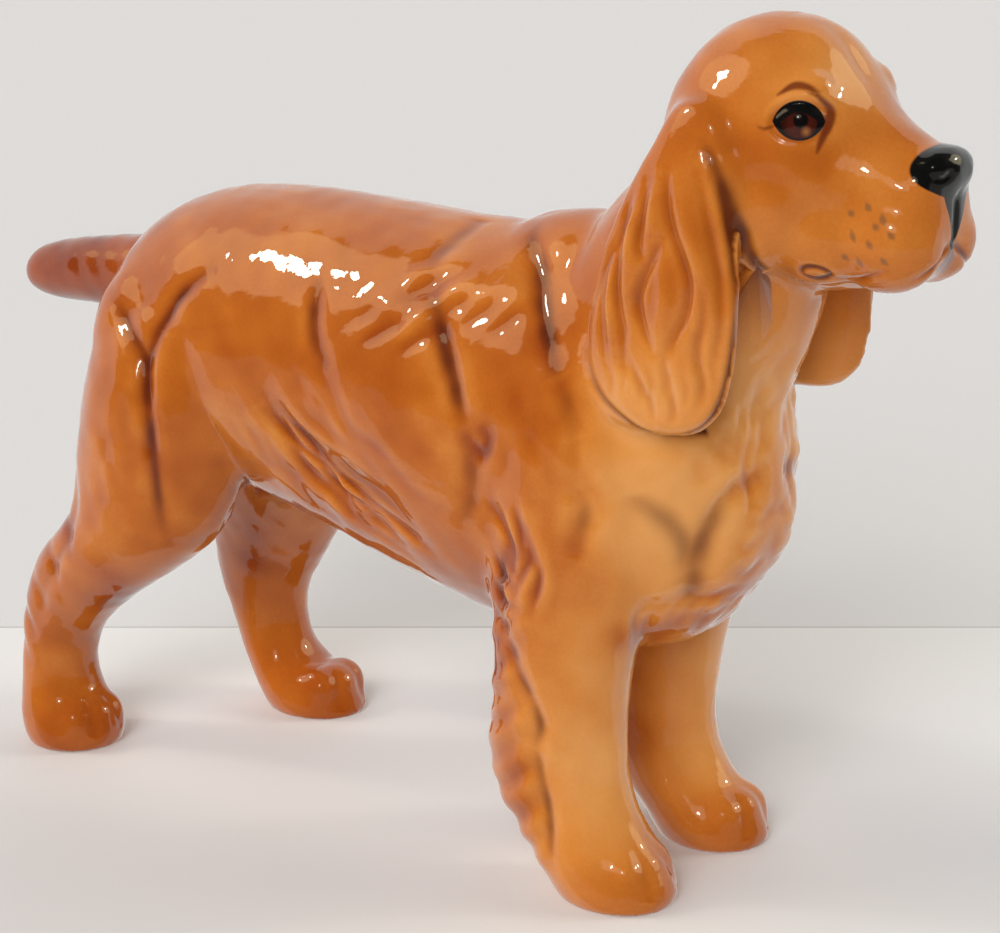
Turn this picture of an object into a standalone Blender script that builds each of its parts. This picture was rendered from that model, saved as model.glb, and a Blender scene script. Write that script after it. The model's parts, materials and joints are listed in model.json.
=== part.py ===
"""A standing spaniel ornament in glazed earthenware, slip-cast in nine sections.

The trunk, the head, two ears, four legs and the tail leave their moulds as separate castings and
are luted together with slip before glazing.  The trunk, the head and the upper legs are hollow
and share one air space, which a small vent under the belly opens to the outside.

Units are metres.  +X is the way the dog faces, +Y is its left side, +Z is up.  The paws stand on
z = 0 and the origin is the middle of the figure's footprint box.
"""
import math

import bmesh
import bpy
from mathutils import Matrix, Vector

# Trunk
TRUNK_LENGTH = 0.1400
TRUNK_DEPTH = 0.0725
TRUNK_WIDTH = 0.0520
# Legs: heights are from the ground to the luting face, stances are between the paws' middles
FORELEG_HEIGHT = 0.036
FORELEG_DEPTH = 0.0255
FORELEG_WIDTH = 0.0200
FORE_STANCE = 0.0305
HINDLEG_DEPTH = 0.0335
HINDLEG_WIDTH = 0.0245
HIND_STANCE = 0.0424
# Neck and head
NECK_DEPTH = 0.0410
NECK_WIDTH = 0.0355
HEAD_LENGTH = 0.0480
HEAD_DEPTH = 0.0445
HEAD_WIDTH = 0.0355
HEAD_SETBACK = 0.0170
HEAD_SINK = 0.0090
# Ears and tail
EAR_LENGTH = 0.0530
EAR_WIDTH = 0.0285
EAR_THICKNESS = 0.0070
EAR_STAND_OFF = 0.0036
TAIL_LENGTH = 0.0310
TAIL_DEPTH = 0.0145
TAIL_WIDTH = 0.0155
# Walls, joints and the vent: the drops are from the trunk's underside to the luting faces
WALL = 0.0040
JOINT_GAP = 0.0003
CHEST_DROP = 0.0020
HIP_DROP = 0.0065
TAIL_STUMP = 0.0022
SOLID_PAW = 0.0200
SOLID_HOCK = 0.0340
VENT_RADIUS = 0.0030
EAR_SEAT_GAP = 0.0005
# Mesh fineness
RING_SIDES = 12
ROUNDING_LEVEL = 1
VENT_SIDES = 24
# A smoothed regular cage lies inside its corners by this share of its radius
CAGE_FIT = (2.0 + math.cos(2.0 * math.pi / RING_SIDES)) / 3.0

# Rows of the trunk: station from rump to chest, underside and topline as shares of the depth,
# and half width as a share of the widest.
TRUNK_ROWS = (
    (0.000, 0.50, 0.74, 0.38),
    (0.028, 0.40, 0.84, 0.66),
    (0.086, 0.29, 0.930, 0.85),
    (0.174, 0.225, 0.985, 0.92),
    (0.287, 0.190, 1.000, 0.95),
    (0.430, 0.115, 0.990, 1.00),
    (0.585, 0.040, 0.975, 1.02),
    (0.725, 0.000, 0.990, 1.01),
    (0.835, 0.005, 0.980, 0.95),
    (0.920, 0.070, 0.900, 0.81),
    (0.972, 0.200, 0.790, 0.60),
    (1.000, 0.360, 0.660, 0.36),
)
# Rows of the head: station from occiput to lips, underside, top and half width as shares.
HEAD_ROWS = (
    (0.000, 0.390, 0.690, 0.46),
    (0.055, 0.210, 0.850, 0.76),
    (0.170, 0.055, 0.960, 0.96),
    (0.315, 0.000, 1.000, 1.03),
    (0.455, 0.025, 0.985, 1.00),
    (0.580, 0.045, 0.900, 0.88),
    (0.675, 0.065, 0.740, 0.71),
    (0.770, 0.080, 0.655, 0.66),
    (0.885, 0.100, 0.610, 0.61),
    (0.965, 0.165, 0.545, 0.47),
    (1.000, 0.260, 0.420, 0.27),
)
# Rows of the neck: station from the trunk's middle to the head's middle, and half sizes.
NECK_ROWS = (
    (0.00, 1.12, 1.14),
    (0.30, 1.14, 1.14),
    (0.58, 1.00, 1.00),
    (0.80, 0.84, 0.92),
    (1.00, 0.66, 0.76),
)
NECK_CUT = 0.58
# Rows of the legs: height (1 is the luting face, and what is over 1 is a share of the trunk's
# depth above it), back and front edge from the leg's line as shares of its depth, the middle as
# a share of half the stance, and the half width as a share of half the leg's width.
SHOULDER_ROWS = (
    (1.160, -0.49, 0.55, 0.98, 1.13),
    (1.350, -0.62, 0.78, 0.95, 1.27),
    (1.600, -0.57, 0.80, 0.88, 1.32),
    (1.850, -0.33, 0.47, 0.72, 1.10),
)
THIGH_ROWS = (
    (1.000, -0.50, 0.50, 0.87, 1.00),
    (1.137, -0.51, 0.62, 0.80, 1.08),
    (1.300, -0.49, 0.71, 0.73, 1.13),
    (1.466, -0.42, 0.68, 0.66, 1.09),
    (1.630, -0.17, 0.56, 0.52, 0.92),
)
RIGHT_FORELEG_ROWS = (
    (-0.083, 0.07, 0.84, 1.02, 0.84),
    (0.083, -0.02, 0.93, 1.02, 1.03),
    (0.250, -0.28, 0.68, 1.01, 0.98),
    (0.470, -0.54, 0.49, 1.00, 0.91),
    (0.720, -0.55, 0.46, 1.00, 0.93),
    (1.000, -0.47, 0.46, 0.99, 1.00),
)
LEFT_FORELEG_ROWS = (
    (-0.083, 0.07, 0.80, 1.02, 0.84),
    (0.083, -0.02, 0.89, 1.02, 1.03),
    (0.250, -0.28, 0.58, 1.01, 0.96),
    (0.470, -0.52, 0.38, 1.00, 0.89),
    (0.720, -0.53, 0.40, 1.00, 0.91),
    (1.000, -0.47, 0.45, 0.99, 1.00),
)
RIGHT_SHANK_ROWS = (
    (-0.065, -0.89, -0.38, 1.00, 0.68),
    (0.065, -0.955, -0.28, 1.00, 0.84),
    (0.196, -0.97, -0.50, 0.99, 0.64),
    (0.348, -0.96, -0.53, 0.99, 0.58),
    (0.500, -0.955, -0.44, 0.99, 0.60),
    (0.652, -0.89, -0.17, 0.98, 0.70),
    (0.826, -0.67, 0.24, 0.94, 0.88),
)
LEFT_SHANK_ROWS = (
    (-0.065, -0.14, 0.44, 1.00, 0.68),
    (0.065, -0.24, 0.53, 1.00, 0.84),
    (0.196, -0.34, 0.07, 0.99, 0.64),
    (0.348, -0.45, 0.01, 0.99, 0.58),
    (0.500, -0.55, 0.02, 0.99, 0.60),
    (0.652, -0.56, 0.18, 0.98, 0.70),
    (0.826, -0.51, 0.37, 0.94, 0.88),
)
# Rows of the ear: drop from its root, back and front edge from its middle line as shares of its
# width, way from the side of the skull to the side of the neck, and half thickness as a share.
EAR_ROWS = (
    (0.00, -0.05, 0.25, 0.00, 0.50),
    (0.12, -0.10, 0.34, 0.28, 0.84),
    (0.27, -0.25, 0.41, 0.52, 1.00),
    (0.46, -0.40, 0.48, 0.72, 1.00),
    (0.69, -0.50, 0.50, 0.90, 1.00),
    (0.86, -0.50, 0.47, 0.98, 0.92),
    (0.96, -0.35, 0.35, 1.00, 0.78),
    (1.00, -0.16, 0.16, 1.00, 0.50),
)
# Rows of the tail: station from its luting face to its tip, underside, top and half width.
TAIL_ROWS = (
    (-0.36, 0.04, 1.12, 1.00),
    (0.00, 0.04, 1.04, 1.00),
    (0.30, 0.02, 0.96, 0.92),
    (0.58, 0.00, 0.86, 0.86),
    (0.82, 0.00, 0.74, 0.78),
    (0.96, 0.08, 0.62, 0.60),
    (1.00, 0.20, 0.50, 0.34),
)

# Where the pieces stand on each other, as shares of the piece that carries them
FORELEG_STATION = 0.778
HINDLEG_STATION = 0.115
HIP_ROW = 3
NECK_STATION = 0.775
HEAD_CENTRE_STATION = 0.33
EAR_TOP_SHARE = 0.75
EAR_STATION = 0.175
EAR_ROOT_SHARE = 0.92
TAIL_FLOOR_SHARE = 0.605
VENT_ROW = 5

# Places that follow from the sizes above
TRUNK_REAR = -0.0685
CHEST_FRONT = TRUNK_REAR + TRUNK_LENGTH
CHEST_FLOOR = FORELEG_HEIGHT + CHEST_DROP
HIP_HEIGHT = CHEST_FLOOR + TRUNK_DEPTH * TRUNK_ROWS[HIP_ROW][1] - HIP_DROP
FORELEG_LINE = TRUNK_REAR + FORELEG_STATION * TRUNK_LENGTH
HINDLEG_LINE = TRUNK_REAR + HINDLEG_STATION * TRUNK_LENGTH
HEAD_REAR = CHEST_FRONT - HEAD_SETBACK
HEAD_FLOOR = CHEST_FLOOR + TRUNK_DEPTH - HEAD_SINK
NECK_START = Vector((
    TRUNK_REAR + NECK_STATION * TRUNK_LENGTH, 0.0, CHEST_FLOOR + TRUNK_DEPTH / 2.0
))
NECK_END = Vector((
    HEAD_REAR + HEAD_CENTRE_STATION * HEAD_LENGTH, 0.0, HEAD_FLOOR + HEAD_DEPTH / 2.0
))
NECK_WAY = (NECK_END - NECK_START).normalized()
NECK_JOINT = NECK_START.lerp(NECK_END, NECK_CUT)
EAR_TOP = HEAD_FLOOR + EAR_TOP_SHARE * HEAD_DEPTH
EAR_LINE = HEAD_REAR + EAR_STATION * HEAD_LENGTH
EAR_ROOT_SIDE = EAR_ROOT_SHARE * HEAD_WIDTH / 2.0
EAR_LIP_SIDE = NECK_WIDTH / 2.0 + EAR_STAND_OFF
TAIL_FACE = TRUNK_REAR - TAIL_STUMP
TAIL_FLOOR = CHEST_FLOOR + TAIL_FLOOR_SHARE * TRUNK_DEPTH

BLOCK_SIZE = 0.5
WELD_DISTANCE = 0.00001
SHARP_ANGLE = math.radians(40.0)
GLAZE_ROUGHNESS = 0.15
UP = Vector((0.0, 0.0, 1.0))
DOWN = -UP
FORWARD = Vector((1.0, 0.0, 0.0))
ASIDE = Vector((0.0, 1.0, 0.0))


def clear_scene():
    """Empty the scene and drop what an earlier run left behind."""
    for obj in list(bpy.context.scene.objects):
        bpy.data.objects.remove(obj, do_unlink=True)


def collection(name):
    """A collection of its own under the scene."""
    made = bpy.data.collections.new(name)
    bpy.context.scene.collection.children.link(made)
    return made


def ring(centre, first, second):
    """One oval of a cage: its middle and its two half axes."""
    return Vector(centre), Vector(first), Vector(second)


def grown(half_axis, grow):
    """A half axis made longer by grow, and fitted to the smoothing that follows."""
    return half_axis.normalized() * (half_axis.length + grow) / CAGE_FIT


def cage_mesh(name, rings, grow):
    """Bridge a row of ovals into a closed coarse cage."""
    bm = bmesh.new()
    loops = []
    last = len(rings) - 1
    for index, (centre, first, second) in enumerate(rings):
        along = first.cross(second).normalized()
        shift = {0: -grow, last: grow}.get(index, 0.0)
        place = Matrix.Translation(centre + along * shift)
        place @= Matrix((grown(first, grow), grown(second, grow), along)).transposed().to_4x4()
        made = bmesh.ops.create_circle(bm, segments=RING_SIDES, radius=1.0, matrix=place)
        loops.append({edge for vert in made["verts"] for edge in vert.link_edges})
    for lower, upper in zip(loops, loops[1:]):
        bmesh.ops.bridge_loops(bm, edges=list(lower | upper))
    for end in (loops[0], loops[last]):
        bmesh.ops.contextual_create(bm, geom=list(end))
    bmesh.ops.recalc_face_normals(bm, faces=bm.faces)
    mesh = bpy.data.meshes.new(name)
    bm.to_mesh(mesh)
    bm.free()
    return mesh


def freeze(obj):
    """Turn an object's modifiers into its mesh."""
    graph = bpy.context.evaluated_depsgraph_get()
    mesh = bpy.data.meshes.new_from_object(obj.evaluated_get(graph))
    obj.modifiers.clear()
    obj.data = mesh


def soft_body(name, rings, grow=0.0):
    """A closed rounded body through a row of ovals."""
    obj = bpy.data.objects.new(name, cage_mesh(name, rings, grow))
    cutters.objects.link(obj)
    rounding = obj.modifiers.new("rounding", "SUBSURF")
    rounding.levels = ROUNDING_LEVEL
    rounding.render_levels = ROUNDING_LEVEL
    bpy.context.view_layer.update()
    freeze(obj)
    return obj


def trim(obj, point, away):
    """Cut off what lies on the away side of a plane, and close the cut with a flat face."""
    bm = bmesh.new()
    bm.from_mesh(obj.data)
    geometry = bm.verts[:] + bm.edges[:] + bm.faces[:]
    cut = bmesh.ops.bisect_plane(
        bm, geom=geometry, plane_co=point, plane_no=away, clear_outer=True
    )
    rim = [item for item in cut["geom_cut"] if isinstance(item, bmesh.types.BMEdge)]
    bmesh.ops.contextual_create(bm, geom=rim)
    bmesh.ops.recalc_face_normals(bm, faces=bm.faces)
    bm.to_mesh(obj.data)
    bm.free()
    return obj


def boolean(obj, other, operation):
    """Join another body to this one, or cut it out of this one."""
    cut = obj.modifiers.new("boolean", "BOOLEAN")
    cut.operation = operation
    cut.object = other
    cut.solver = "EXACT"
    bpy.context.view_layer.update()
    freeze(obj)
    other.hide_render = True
    other.display_type = "WIRE"
    return obj


def join(obj, other):
    """Join two bodies into one."""
    return boolean(obj, other, "UNION")


def carve(obj, other):
    """Cut a body out of this one."""
    return boolean(obj, other, "DIFFERENCE")


def block_beyond(name, point, away):
    """A large block whose one face lies on a plane, on its away side."""
    mesh = bpy.data.meshes.new(name)
    bm = bmesh.new()
    turn = UP.rotation_difference(away).to_matrix().to_4x4()
    place = Matrix.Translation(point + away * BLOCK_SIZE / 2.0) @ turn
    bmesh.ops.create_cube(bm, size=BLOCK_SIZE, matrix=place)
    bm.to_mesh(mesh)
    bm.free()
    obj = bpy.data.objects.new(name, mesh)
    cutters.objects.link(obj)
    return obj


def upright_rings(rows, rear, length, floor, depth, half_width):
    """Ovals that stand across the X axis, for the trunk, the head and the tail."""
    rings = []
    for station, low, high, wide in rows:
        centre = (rear + station * length, 0.0, floor + depth * (low + high) / 2.0)
        rings.append(ring(centre, ASIDE * half_width * wide, UP * depth * (high - low) / 2.0))
    return rings


def level_rings(rows, heights, line, depth, middles, half_widths):
    """Ovals that lie level above each other, for the legs and the ears."""
    rings = []
    for row, height, middle, half_width in zip(rows, heights, middles, half_widths):
        centre = (line + depth * (row[1] + row[2]) / 2.0, middle, height)
        rings.append(ring(centre, FORWARD * depth * (row[2] - row[1]) / 2.0, ASIDE * half_width))
    return rings


def trunk_rings():
    """Ovals of the barrel from rump to chest."""
    return upright_rings(
        TRUNK_ROWS, TRUNK_REAR, TRUNK_LENGTH, CHEST_FLOOR, TRUNK_DEPTH, TRUNK_WIDTH / 2.0
    )


def head_rings():
    """Ovals of the skull and the muzzle from occiput to lips."""
    return upright_rings(
        HEAD_ROWS, HEAD_REAR, HEAD_LENGTH, HEAD_FLOOR, HEAD_DEPTH, HEAD_WIDTH / 2.0
    )


def tail_rings():
    """Ovals of the tail from inside the rump to its tip."""
    return upright_rings(
        TAIL_ROWS, TAIL_FACE, -TAIL_LENGTH, TAIL_FLOOR, TAIL_DEPTH, TAIL_WIDTH / 2.0
    )


def neck_rings():
    """Ovals across the neck's slope, from the trunk's middle to the head's middle."""
    across = NECK_WAY.cross(ASIDE)
    rings = []
    for station, deep, wide in NECK_ROWS:
        centre = NECK_START.lerp(NECK_END, station)
        rings.append(
            ring(centre, ASIDE * wide * NECK_WIDTH / 2.0, across * deep * NECK_DEPTH / 2.0)
        )
    return rings


def leg_rings(rows, face, line, depth, width, stance, side):
    """Ovals of a leg from under its paw to the top of its shoulder or thigh."""
    heights = [
        row[0] * face if row[0] <= 1.0 else face + (row[0] - 1.0) * TRUNK_DEPTH for row in rows
    ]
    middles = [side * row[3] * stance / 2.0 for row in rows]
    half_widths = [row[4] * width / 2.0 for row in rows]
    return level_rings(rows, heights, line, depth, middles, half_widths)


def foreleg_rings(side):
    """Ovals of a foreleg; side is -1 for the right and 1 for the left, slimmer one."""
    rows = (RIGHT_FORELEG_ROWS if side < 0 else LEFT_FORELEG_ROWS) + SHOULDER_ROWS
    return leg_rings(
        rows, FORELEG_HEIGHT, FORELEG_LINE, FORELEG_DEPTH, FORELEG_WIDTH, FORE_STANCE, side
    )


def hindleg_rings(side):
    """Ovals of a hind leg; the left shank stands further forward than the right one."""
    shank = RIGHT_SHANK_ROWS if side < 0 else LEFT_SHANK_ROWS
    return leg_rings(
        shank + THIGH_ROWS, HIP_HEIGHT, HINDLEG_LINE, HINDLEG_DEPTH, HINDLEG_WIDTH, HIND_STANCE,
        side,
    )


def ear_rings(side):
    """Ovals of a hanging ear from its root to its lower edge."""
    heights = [EAR_TOP - row[0] * EAR_LENGTH for row in EAR_ROWS]
    spread = EAR_LIP_SIDE - EAR_ROOT_SIDE
    middles = [side * (EAR_ROOT_SIDE + row[3] * spread) for row in EAR_ROWS]
    half_widths = [row[4] * EAR_THICKNESS / 2.0 for row in EAR_ROWS]
    return level_rings(EAR_ROWS, heights, EAR_LINE, EAR_WIDTH, middles, half_widths)


def leg_kinds():
    """Name, rings, luting height and solid height of each leg."""
    return (
        ("right_foreleg", foreleg_rings(-1), FORELEG_HEIGHT, SOLID_PAW),
        ("left_foreleg", foreleg_rings(1), FORELEG_HEIGHT, SOLID_PAW),
        ("right_hindleg", hindleg_rings(-1), HIP_HEIGHT, SOLID_HOCK),
        ("left_hindleg", hindleg_rings(1), HIP_HEIGHT, SOLID_HOCK),
    )


def leg_core(name, rings, solid_height):
    """The air space of a leg and of the stump above it."""
    core = soft_body(name + "_core", rings, -WALL)
    return trim(core, UP * solid_height, DOWN)


def make_leg(name, rings, face, solid_height):
    """A leg casting: flat sole, flat luting face on top, hollow down to its solid end."""
    leg = soft_body(name, rings)
    trim(leg, Vector(), DOWN)
    trim(leg, UP * (face - JOINT_GAP), UP)
    return carve(leg, leg_core(name, rings, solid_height))


def make_trunk():
    """The hollow trunk with the stumps that the other castings are luted to."""
    trunk = soft_body("trunk_casting", trunk_rings())
    join(trunk, soft_body("neck_stump", neck_rings()))
    tail_stump = soft_body("tail_stump", tail_rings())
    join(trunk, trim(tail_stump, FORWARD * TAIL_FACE, -FORWARD))
    for name, rings, face, _ in leg_kinds():
        stump = soft_body(name + "_stump", rings)
        join(trunk, trim(stump, UP * face, DOWN))
    carve(trunk, block_beyond("neck_cut", NECK_JOINT, NECK_WAY))
    carve(trunk, soft_body("trunk_core", trunk_rings(), -WALL))
    carve(trunk, soft_body("neck_core", neck_rings(), -WALL))
    for name, rings, _, solid_height in leg_kinds():
        carve(trunk, leg_core(name, rings, solid_height))
    return carve(trunk, vent_drill())


def vent_drill():
    """A short upright drill through the belly wall, behind the chest."""
    mesh = bpy.data.meshes.new("vent_drill")
    bm = bmesh.new()
    station, underside = TRUNK_ROWS[VENT_ROW][:2]
    middle = Vector((
        TRUNK_REAR + station * TRUNK_LENGTH, 0.0, CHEST_FLOOR + underside * TRUNK_DEPTH
    ))
    bmesh.ops.create_cone(
        bm, cap_ends=True, segments=VENT_SIDES, radius1=VENT_RADIUS, radius2=VENT_RADIUS,
        depth=WALL * 4.0, matrix=Matrix.Translation(middle),
    )
    bm.to_mesh(mesh)
    bm.free()
    obj = bpy.data.objects.new("vent_drill", mesh)
    cutters.objects.link(obj)
    return obj


def make_head():
    """The hollow head with the upper neck, open at its slanted luting face."""
    face = NECK_JOINT + NECK_WAY * JOINT_GAP
    head = soft_body("head_casting", head_rings())
    join(head, trim(soft_body("upper_neck", neck_rings()), face, -NECK_WAY))
    carve(head, block_beyond("head_cut", face, -NECK_WAY))
    carve(head, soft_body("head_core", head_rings(), -WALL))
    return carve(head, soft_body("upper_neck_core", neck_rings(), -WALL))


def make_ear(name, side):
    """A hanging ear, hollowed on its inner face to lie on the head, the neck and the shoulder."""
    ear = soft_body(name, ear_rings(side))
    seats = (
        ("head_seat", head_rings()),
        ("neck_seat", neck_rings()),
        ("trunk_seat", trunk_rings()),
        ("shoulder_seat", foreleg_rings(side)),
    )
    for seat, rings in seats:
        carve(ear, soft_body(name + "_" + seat, rings, EAR_SEAT_GAP))
    return ear


def make_tail():
    """The docked tail, solid, with a flat luting face at its root."""
    tail = soft_body("tail", tail_rings())
    return trim(tail, FORWARD * (TAIL_FACE - JOINT_GAP), FORWARD)


def glaze(name, colour):
    """A glossy glaze over earthenware."""
    material = bpy.data.materials.new(name)
    material.use_nodes = True
    shader = material.node_tree.nodes["Principled BSDF"]
    shader.inputs["Base Color"].default_value = (*colour, 1.0)
    shader.inputs["Roughness"].default_value = GLAZE_ROUGHNESS
    shader.inputs["Metallic"].default_value = 0.0
    return material


def finish(obj, colour):
    """Merge doubles, shade smooth and put the piece with the figure."""
    bm = bmesh.new()
    bm.from_mesh(obj.data)
    bmesh.ops.remove_doubles(bm, verts=bm.verts, dist=WELD_DISTANCE)
    bmesh.ops.triangulate(bm, faces=bm.faces)
    bm.to_mesh(obj.data)
    bm.free()
    obj.data.shade_smooth()
    obj.data.set_sharp_from_angle(angle=SHARP_ANGLE)
    obj.data.materials.clear()
    obj.data.materials.append(glaze(obj.name + "_glaze", colour))
    cutters.objects.unlink(obj)
    figure.objects.link(obj)


def centre_on_footprint(pieces):
    """Move the figure so that the middle of its box stands over the origin."""
    places = [vert.co for obj in pieces for vert in obj.data.vertices]
    for axis in (0, 1):
        values = [place[axis] for place in places]
        middle = (min(values) + max(values)) / 2.0
        for place in places:
            place[axis] -= middle


clear_scene()
figure = collection("spaniel_figurine")
cutters = collection("cutters")
COLOURS = {
    "trunk_casting": (0.45, 0.19, 0.06),
    "head_casting": (0.48, 0.20, 0.06),
    "right_ear": (0.55, 0.22, 0.06),
    "left_ear": (0.55, 0.22, 0.06),
    "right_foreleg": (0.60, 0.30, 0.12),
    "left_foreleg": (0.52, 0.24, 0.09),
    "right_hindleg": (0.46, 0.20, 0.08),
    "left_hindleg": (0.40, 0.15, 0.05),
    "tail": (0.32, 0.10, 0.03),
}
made = [make_trunk(), make_head(), make_ear("right_ear", -1), make_ear("left_ear", 1)]
made += [make_leg(*kind) for kind in leg_kinds()]
made.append(make_tail())
for piece in made:
    finish(piece, COLOURS[piece.name])
centre_on_footprint(made)
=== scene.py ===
# %% [markdown]
# A glazed spaniel ornament
#
# The figure is earthenware, slip-cast, luted together, painted and dipped in a clear gloss glaze.
# The engineering model gives the castings, their places and their sizes.  This lesson models the
# surface that the eye sees: clay, hair, paint and glaze.  A potter's modeller builds a dog from
# lumps, smooths the lumps together, cuts the hair in with a loop tool, and only then cuts the
# model into the parts that the moulds are made from.  The cells below work in that order.

# %% Load the frame
import json
import math

import bmesh
import bpy
import numpy as np
from mathutils import Matrix, Vector


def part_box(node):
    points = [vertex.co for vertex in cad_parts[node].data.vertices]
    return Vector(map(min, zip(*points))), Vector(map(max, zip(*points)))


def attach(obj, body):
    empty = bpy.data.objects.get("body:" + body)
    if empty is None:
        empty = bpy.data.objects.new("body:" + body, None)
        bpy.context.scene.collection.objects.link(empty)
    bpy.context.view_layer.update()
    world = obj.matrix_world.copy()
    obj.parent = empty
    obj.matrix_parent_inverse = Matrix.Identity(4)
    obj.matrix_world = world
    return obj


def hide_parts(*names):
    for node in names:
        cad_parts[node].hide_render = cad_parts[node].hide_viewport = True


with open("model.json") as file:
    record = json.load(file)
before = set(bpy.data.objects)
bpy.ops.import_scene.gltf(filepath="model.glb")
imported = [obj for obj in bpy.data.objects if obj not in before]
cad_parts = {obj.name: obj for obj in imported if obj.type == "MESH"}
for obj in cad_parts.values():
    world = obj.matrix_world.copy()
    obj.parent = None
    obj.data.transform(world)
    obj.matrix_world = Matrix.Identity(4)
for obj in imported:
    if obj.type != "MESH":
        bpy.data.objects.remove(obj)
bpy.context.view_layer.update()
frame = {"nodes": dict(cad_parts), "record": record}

MM = 0.001
NODES = sorted(frame["nodes"])
LOW = {name: np.array(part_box(name)[0]) / MM for name in NODES}
HIGH = {name: np.array(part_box(name)[1]) / MM for name in NODES}
print("castings:", ", ".join(NODES))

# %% [markdown]
# ## The camera and the room
#
# A small ornament is shot from a little above, with a long lens, on a pale table against a pale
# wall.  The camera comes first, so that every later step can be judged through it.

# %% Place the camera
CAMERA_PLACE = Vector((0.2627, -0.3217, 0.1734))
CAMERA_TURN = math.radians(37.52)
CAMERA_DIP = math.radians(14.99)
LENS = 86.4

bpy.ops.object.camera_add(
    location=CAMERA_PLACE, rotation=(math.pi / 2 - CAMERA_DIP, 0.0, CAMERA_TURN)
)
camera = bpy.context.object
camera.data.lens = LENS
camera.data.sensor_width = 36.0
camera.data.clip_start = 0.01
bpy.context.scene.camera = camera
print("camera at", tuple(round(value, 3) for value in camera.location))

# %% [markdown]
# ## Clay lumps
#
# A lump could be a sphere pulled about in sculpt mode, but a script has no hand to pull with.  Two
# kinds of lump cover a dog.  A ball is a primitive sphere, scaled and turned.  A loft is a row of
# circles, bridged and smoothed, for whatever has a length: the barrel, the neck, a leg, the tail.
# Every place is a share of a casting's box or a distance from its corner, so the lumps follow the
# engineering model.

# %% Make a ball of clay
clay = []


def deselect():
    """Leave nothing selected, the castings included."""
    for obj in bpy.context.selected_objects:
        obj.select_set(False)


def take(obj):
    """Select one object alone and make it the active one."""
    deselect()
    obj.select_set(True)
    bpy.context.view_layer.objects.active = obj


def ball(centre, radii, turn=(0.0, 0.0, 0.0)):
    """A clay ball, squeezed to three radii and turned, in millimetres and degrees."""
    deselect()
    bpy.ops.mesh.primitive_uv_sphere_add(
        segments=28,
        ring_count=14,
        location=Vector(centre) * MM,
        rotation=[math.radians(angle) for angle in turn],
        scale=Vector(radii) * MM,
    )
    bpy.ops.object.transform_apply(location=True, rotation=True, scale=True)
    clay.append(bpy.context.object)


def both_sides(centre, radii, turn=(0.0, 0.0, 0.0)):
    """The same ball on the left and on the right of the dog."""
    x, y, z = centre
    roll, pitch, yaw = turn
    ball((x, y, z), radii, (roll, pitch, yaw))
    ball((x, -y, z), radii, (-roll, pitch, -yaw))


print("a ball is", 28 * 14, "faces, and the smoothing hides them")

# %% Make a loft
# Smoothing draws a ring of straight edges in by this share, so the ring is made larger first.
LOFT_SIDES = 20
LOFT_FIT = (2.0 + math.cos(2.0 * math.pi / LOFT_SIDES)) / 3.0


def loft(rows, long_way, wide_way, high_way):
    """Bridge a row of ovals; each row is a middle and two half sizes in millimetres."""
    bm = bmesh.new()
    loops = []
    for middle, half_wide, half_high in rows:
        place = Matrix((
            Vector(wide_way) * half_wide * MM / LOFT_FIT,
            Vector(high_way) * half_high * MM / LOFT_FIT,
            Vector(long_way),
        )).transposed().to_4x4()
        place.translation = Vector(middle) * MM
        ring = bmesh.ops.create_circle(bm, segments=LOFT_SIDES, radius=1.0, matrix=place)
        loops.append({edge for vert in ring["verts"] for edge in vert.link_edges})
    for lower, upper in zip(loops, loops[1:]):
        bmesh.ops.bridge_loops(bm, edges=list(lower | upper))
    for end in (loops[0], loops[-1]):
        bmesh.ops.contextual_create(bm, geom=list(end))
    bmesh.ops.recalc_face_normals(bm, faces=bm.faces)
    mesh = bpy.data.meshes.new("lump")
    bm.to_mesh(mesh)
    bm.free()
    lump = bpy.data.objects.new("lump", mesh)
    bpy.context.scene.collection.objects.link(lump)
    rounding = lump.modifiers.new("rounding", "SUBSURF")
    rounding.levels = 2
    rounding.render_levels = 2
    clay.append(lump)


def upright(rows):
    """A loft along the dog's length: rows of x, lowest z, highest z and half width."""
    ovals = [((x, 0.0, (low + high) / 2), wide, (high - low) / 2) for x, low, high, wide in rows]
    loft(ovals, (1, 0, 0), (0, 1, 0), (0, 0, 1))


def level(rows):
    """A loft up a leg or an ear: rows of z, rear x, front x, middle y and half width."""
    ovals = [
        (((rear + front) / 2, middle, z), (front - rear) / 2, wide)
        for z, rear, front, middle, wide in rows
    ]
    loft(ovals, (0, 0, 1), (1, 0, 0), (0, 1, 0))


print("a loft has", LOFT_SIDES, "sides; its rings are made", round(1 / LOFT_FIT, 3), "times as large")

# %% [markdown]
# ## The barrel, the neck and the tail
#
# The trunk is one long loft from rump to chest.  The neck leaves it at a slope and carries the
# head, and the tail is a short loft of its own.  A row of balls would make the same barrel, but it
# would need far more of them, and each oval of a loft can be set from a share of the casting.

# %% Lay down the barrel
RUMP_INSET = 2.6
CHEST_REACH = 9.5
BELLY_RISE = 2.3
TRUNK_DEPTH = 72.5
HALF_TRUNK = 26.0
trunk_rear = LOW["trunk_casting"][0] + RUMP_INSET
trunk_front = HIGH["right_foreleg"][0] + CHEST_REACH
trunk_floor = HIGH["right_foreleg"][2] + BELLY_RISE
trunk_back = trunk_floor + TRUNK_DEPTH


def trunk_row(station, low, high, wide):
    """One oval of the barrel from shares of the trunk's length, depth and width."""
    x = trunk_rear + station * (trunk_front - trunk_rear)
    depth = trunk_back - trunk_floor
    return x, trunk_floor + low * depth, trunk_floor + high * depth, wide * HALF_TRUNK


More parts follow.
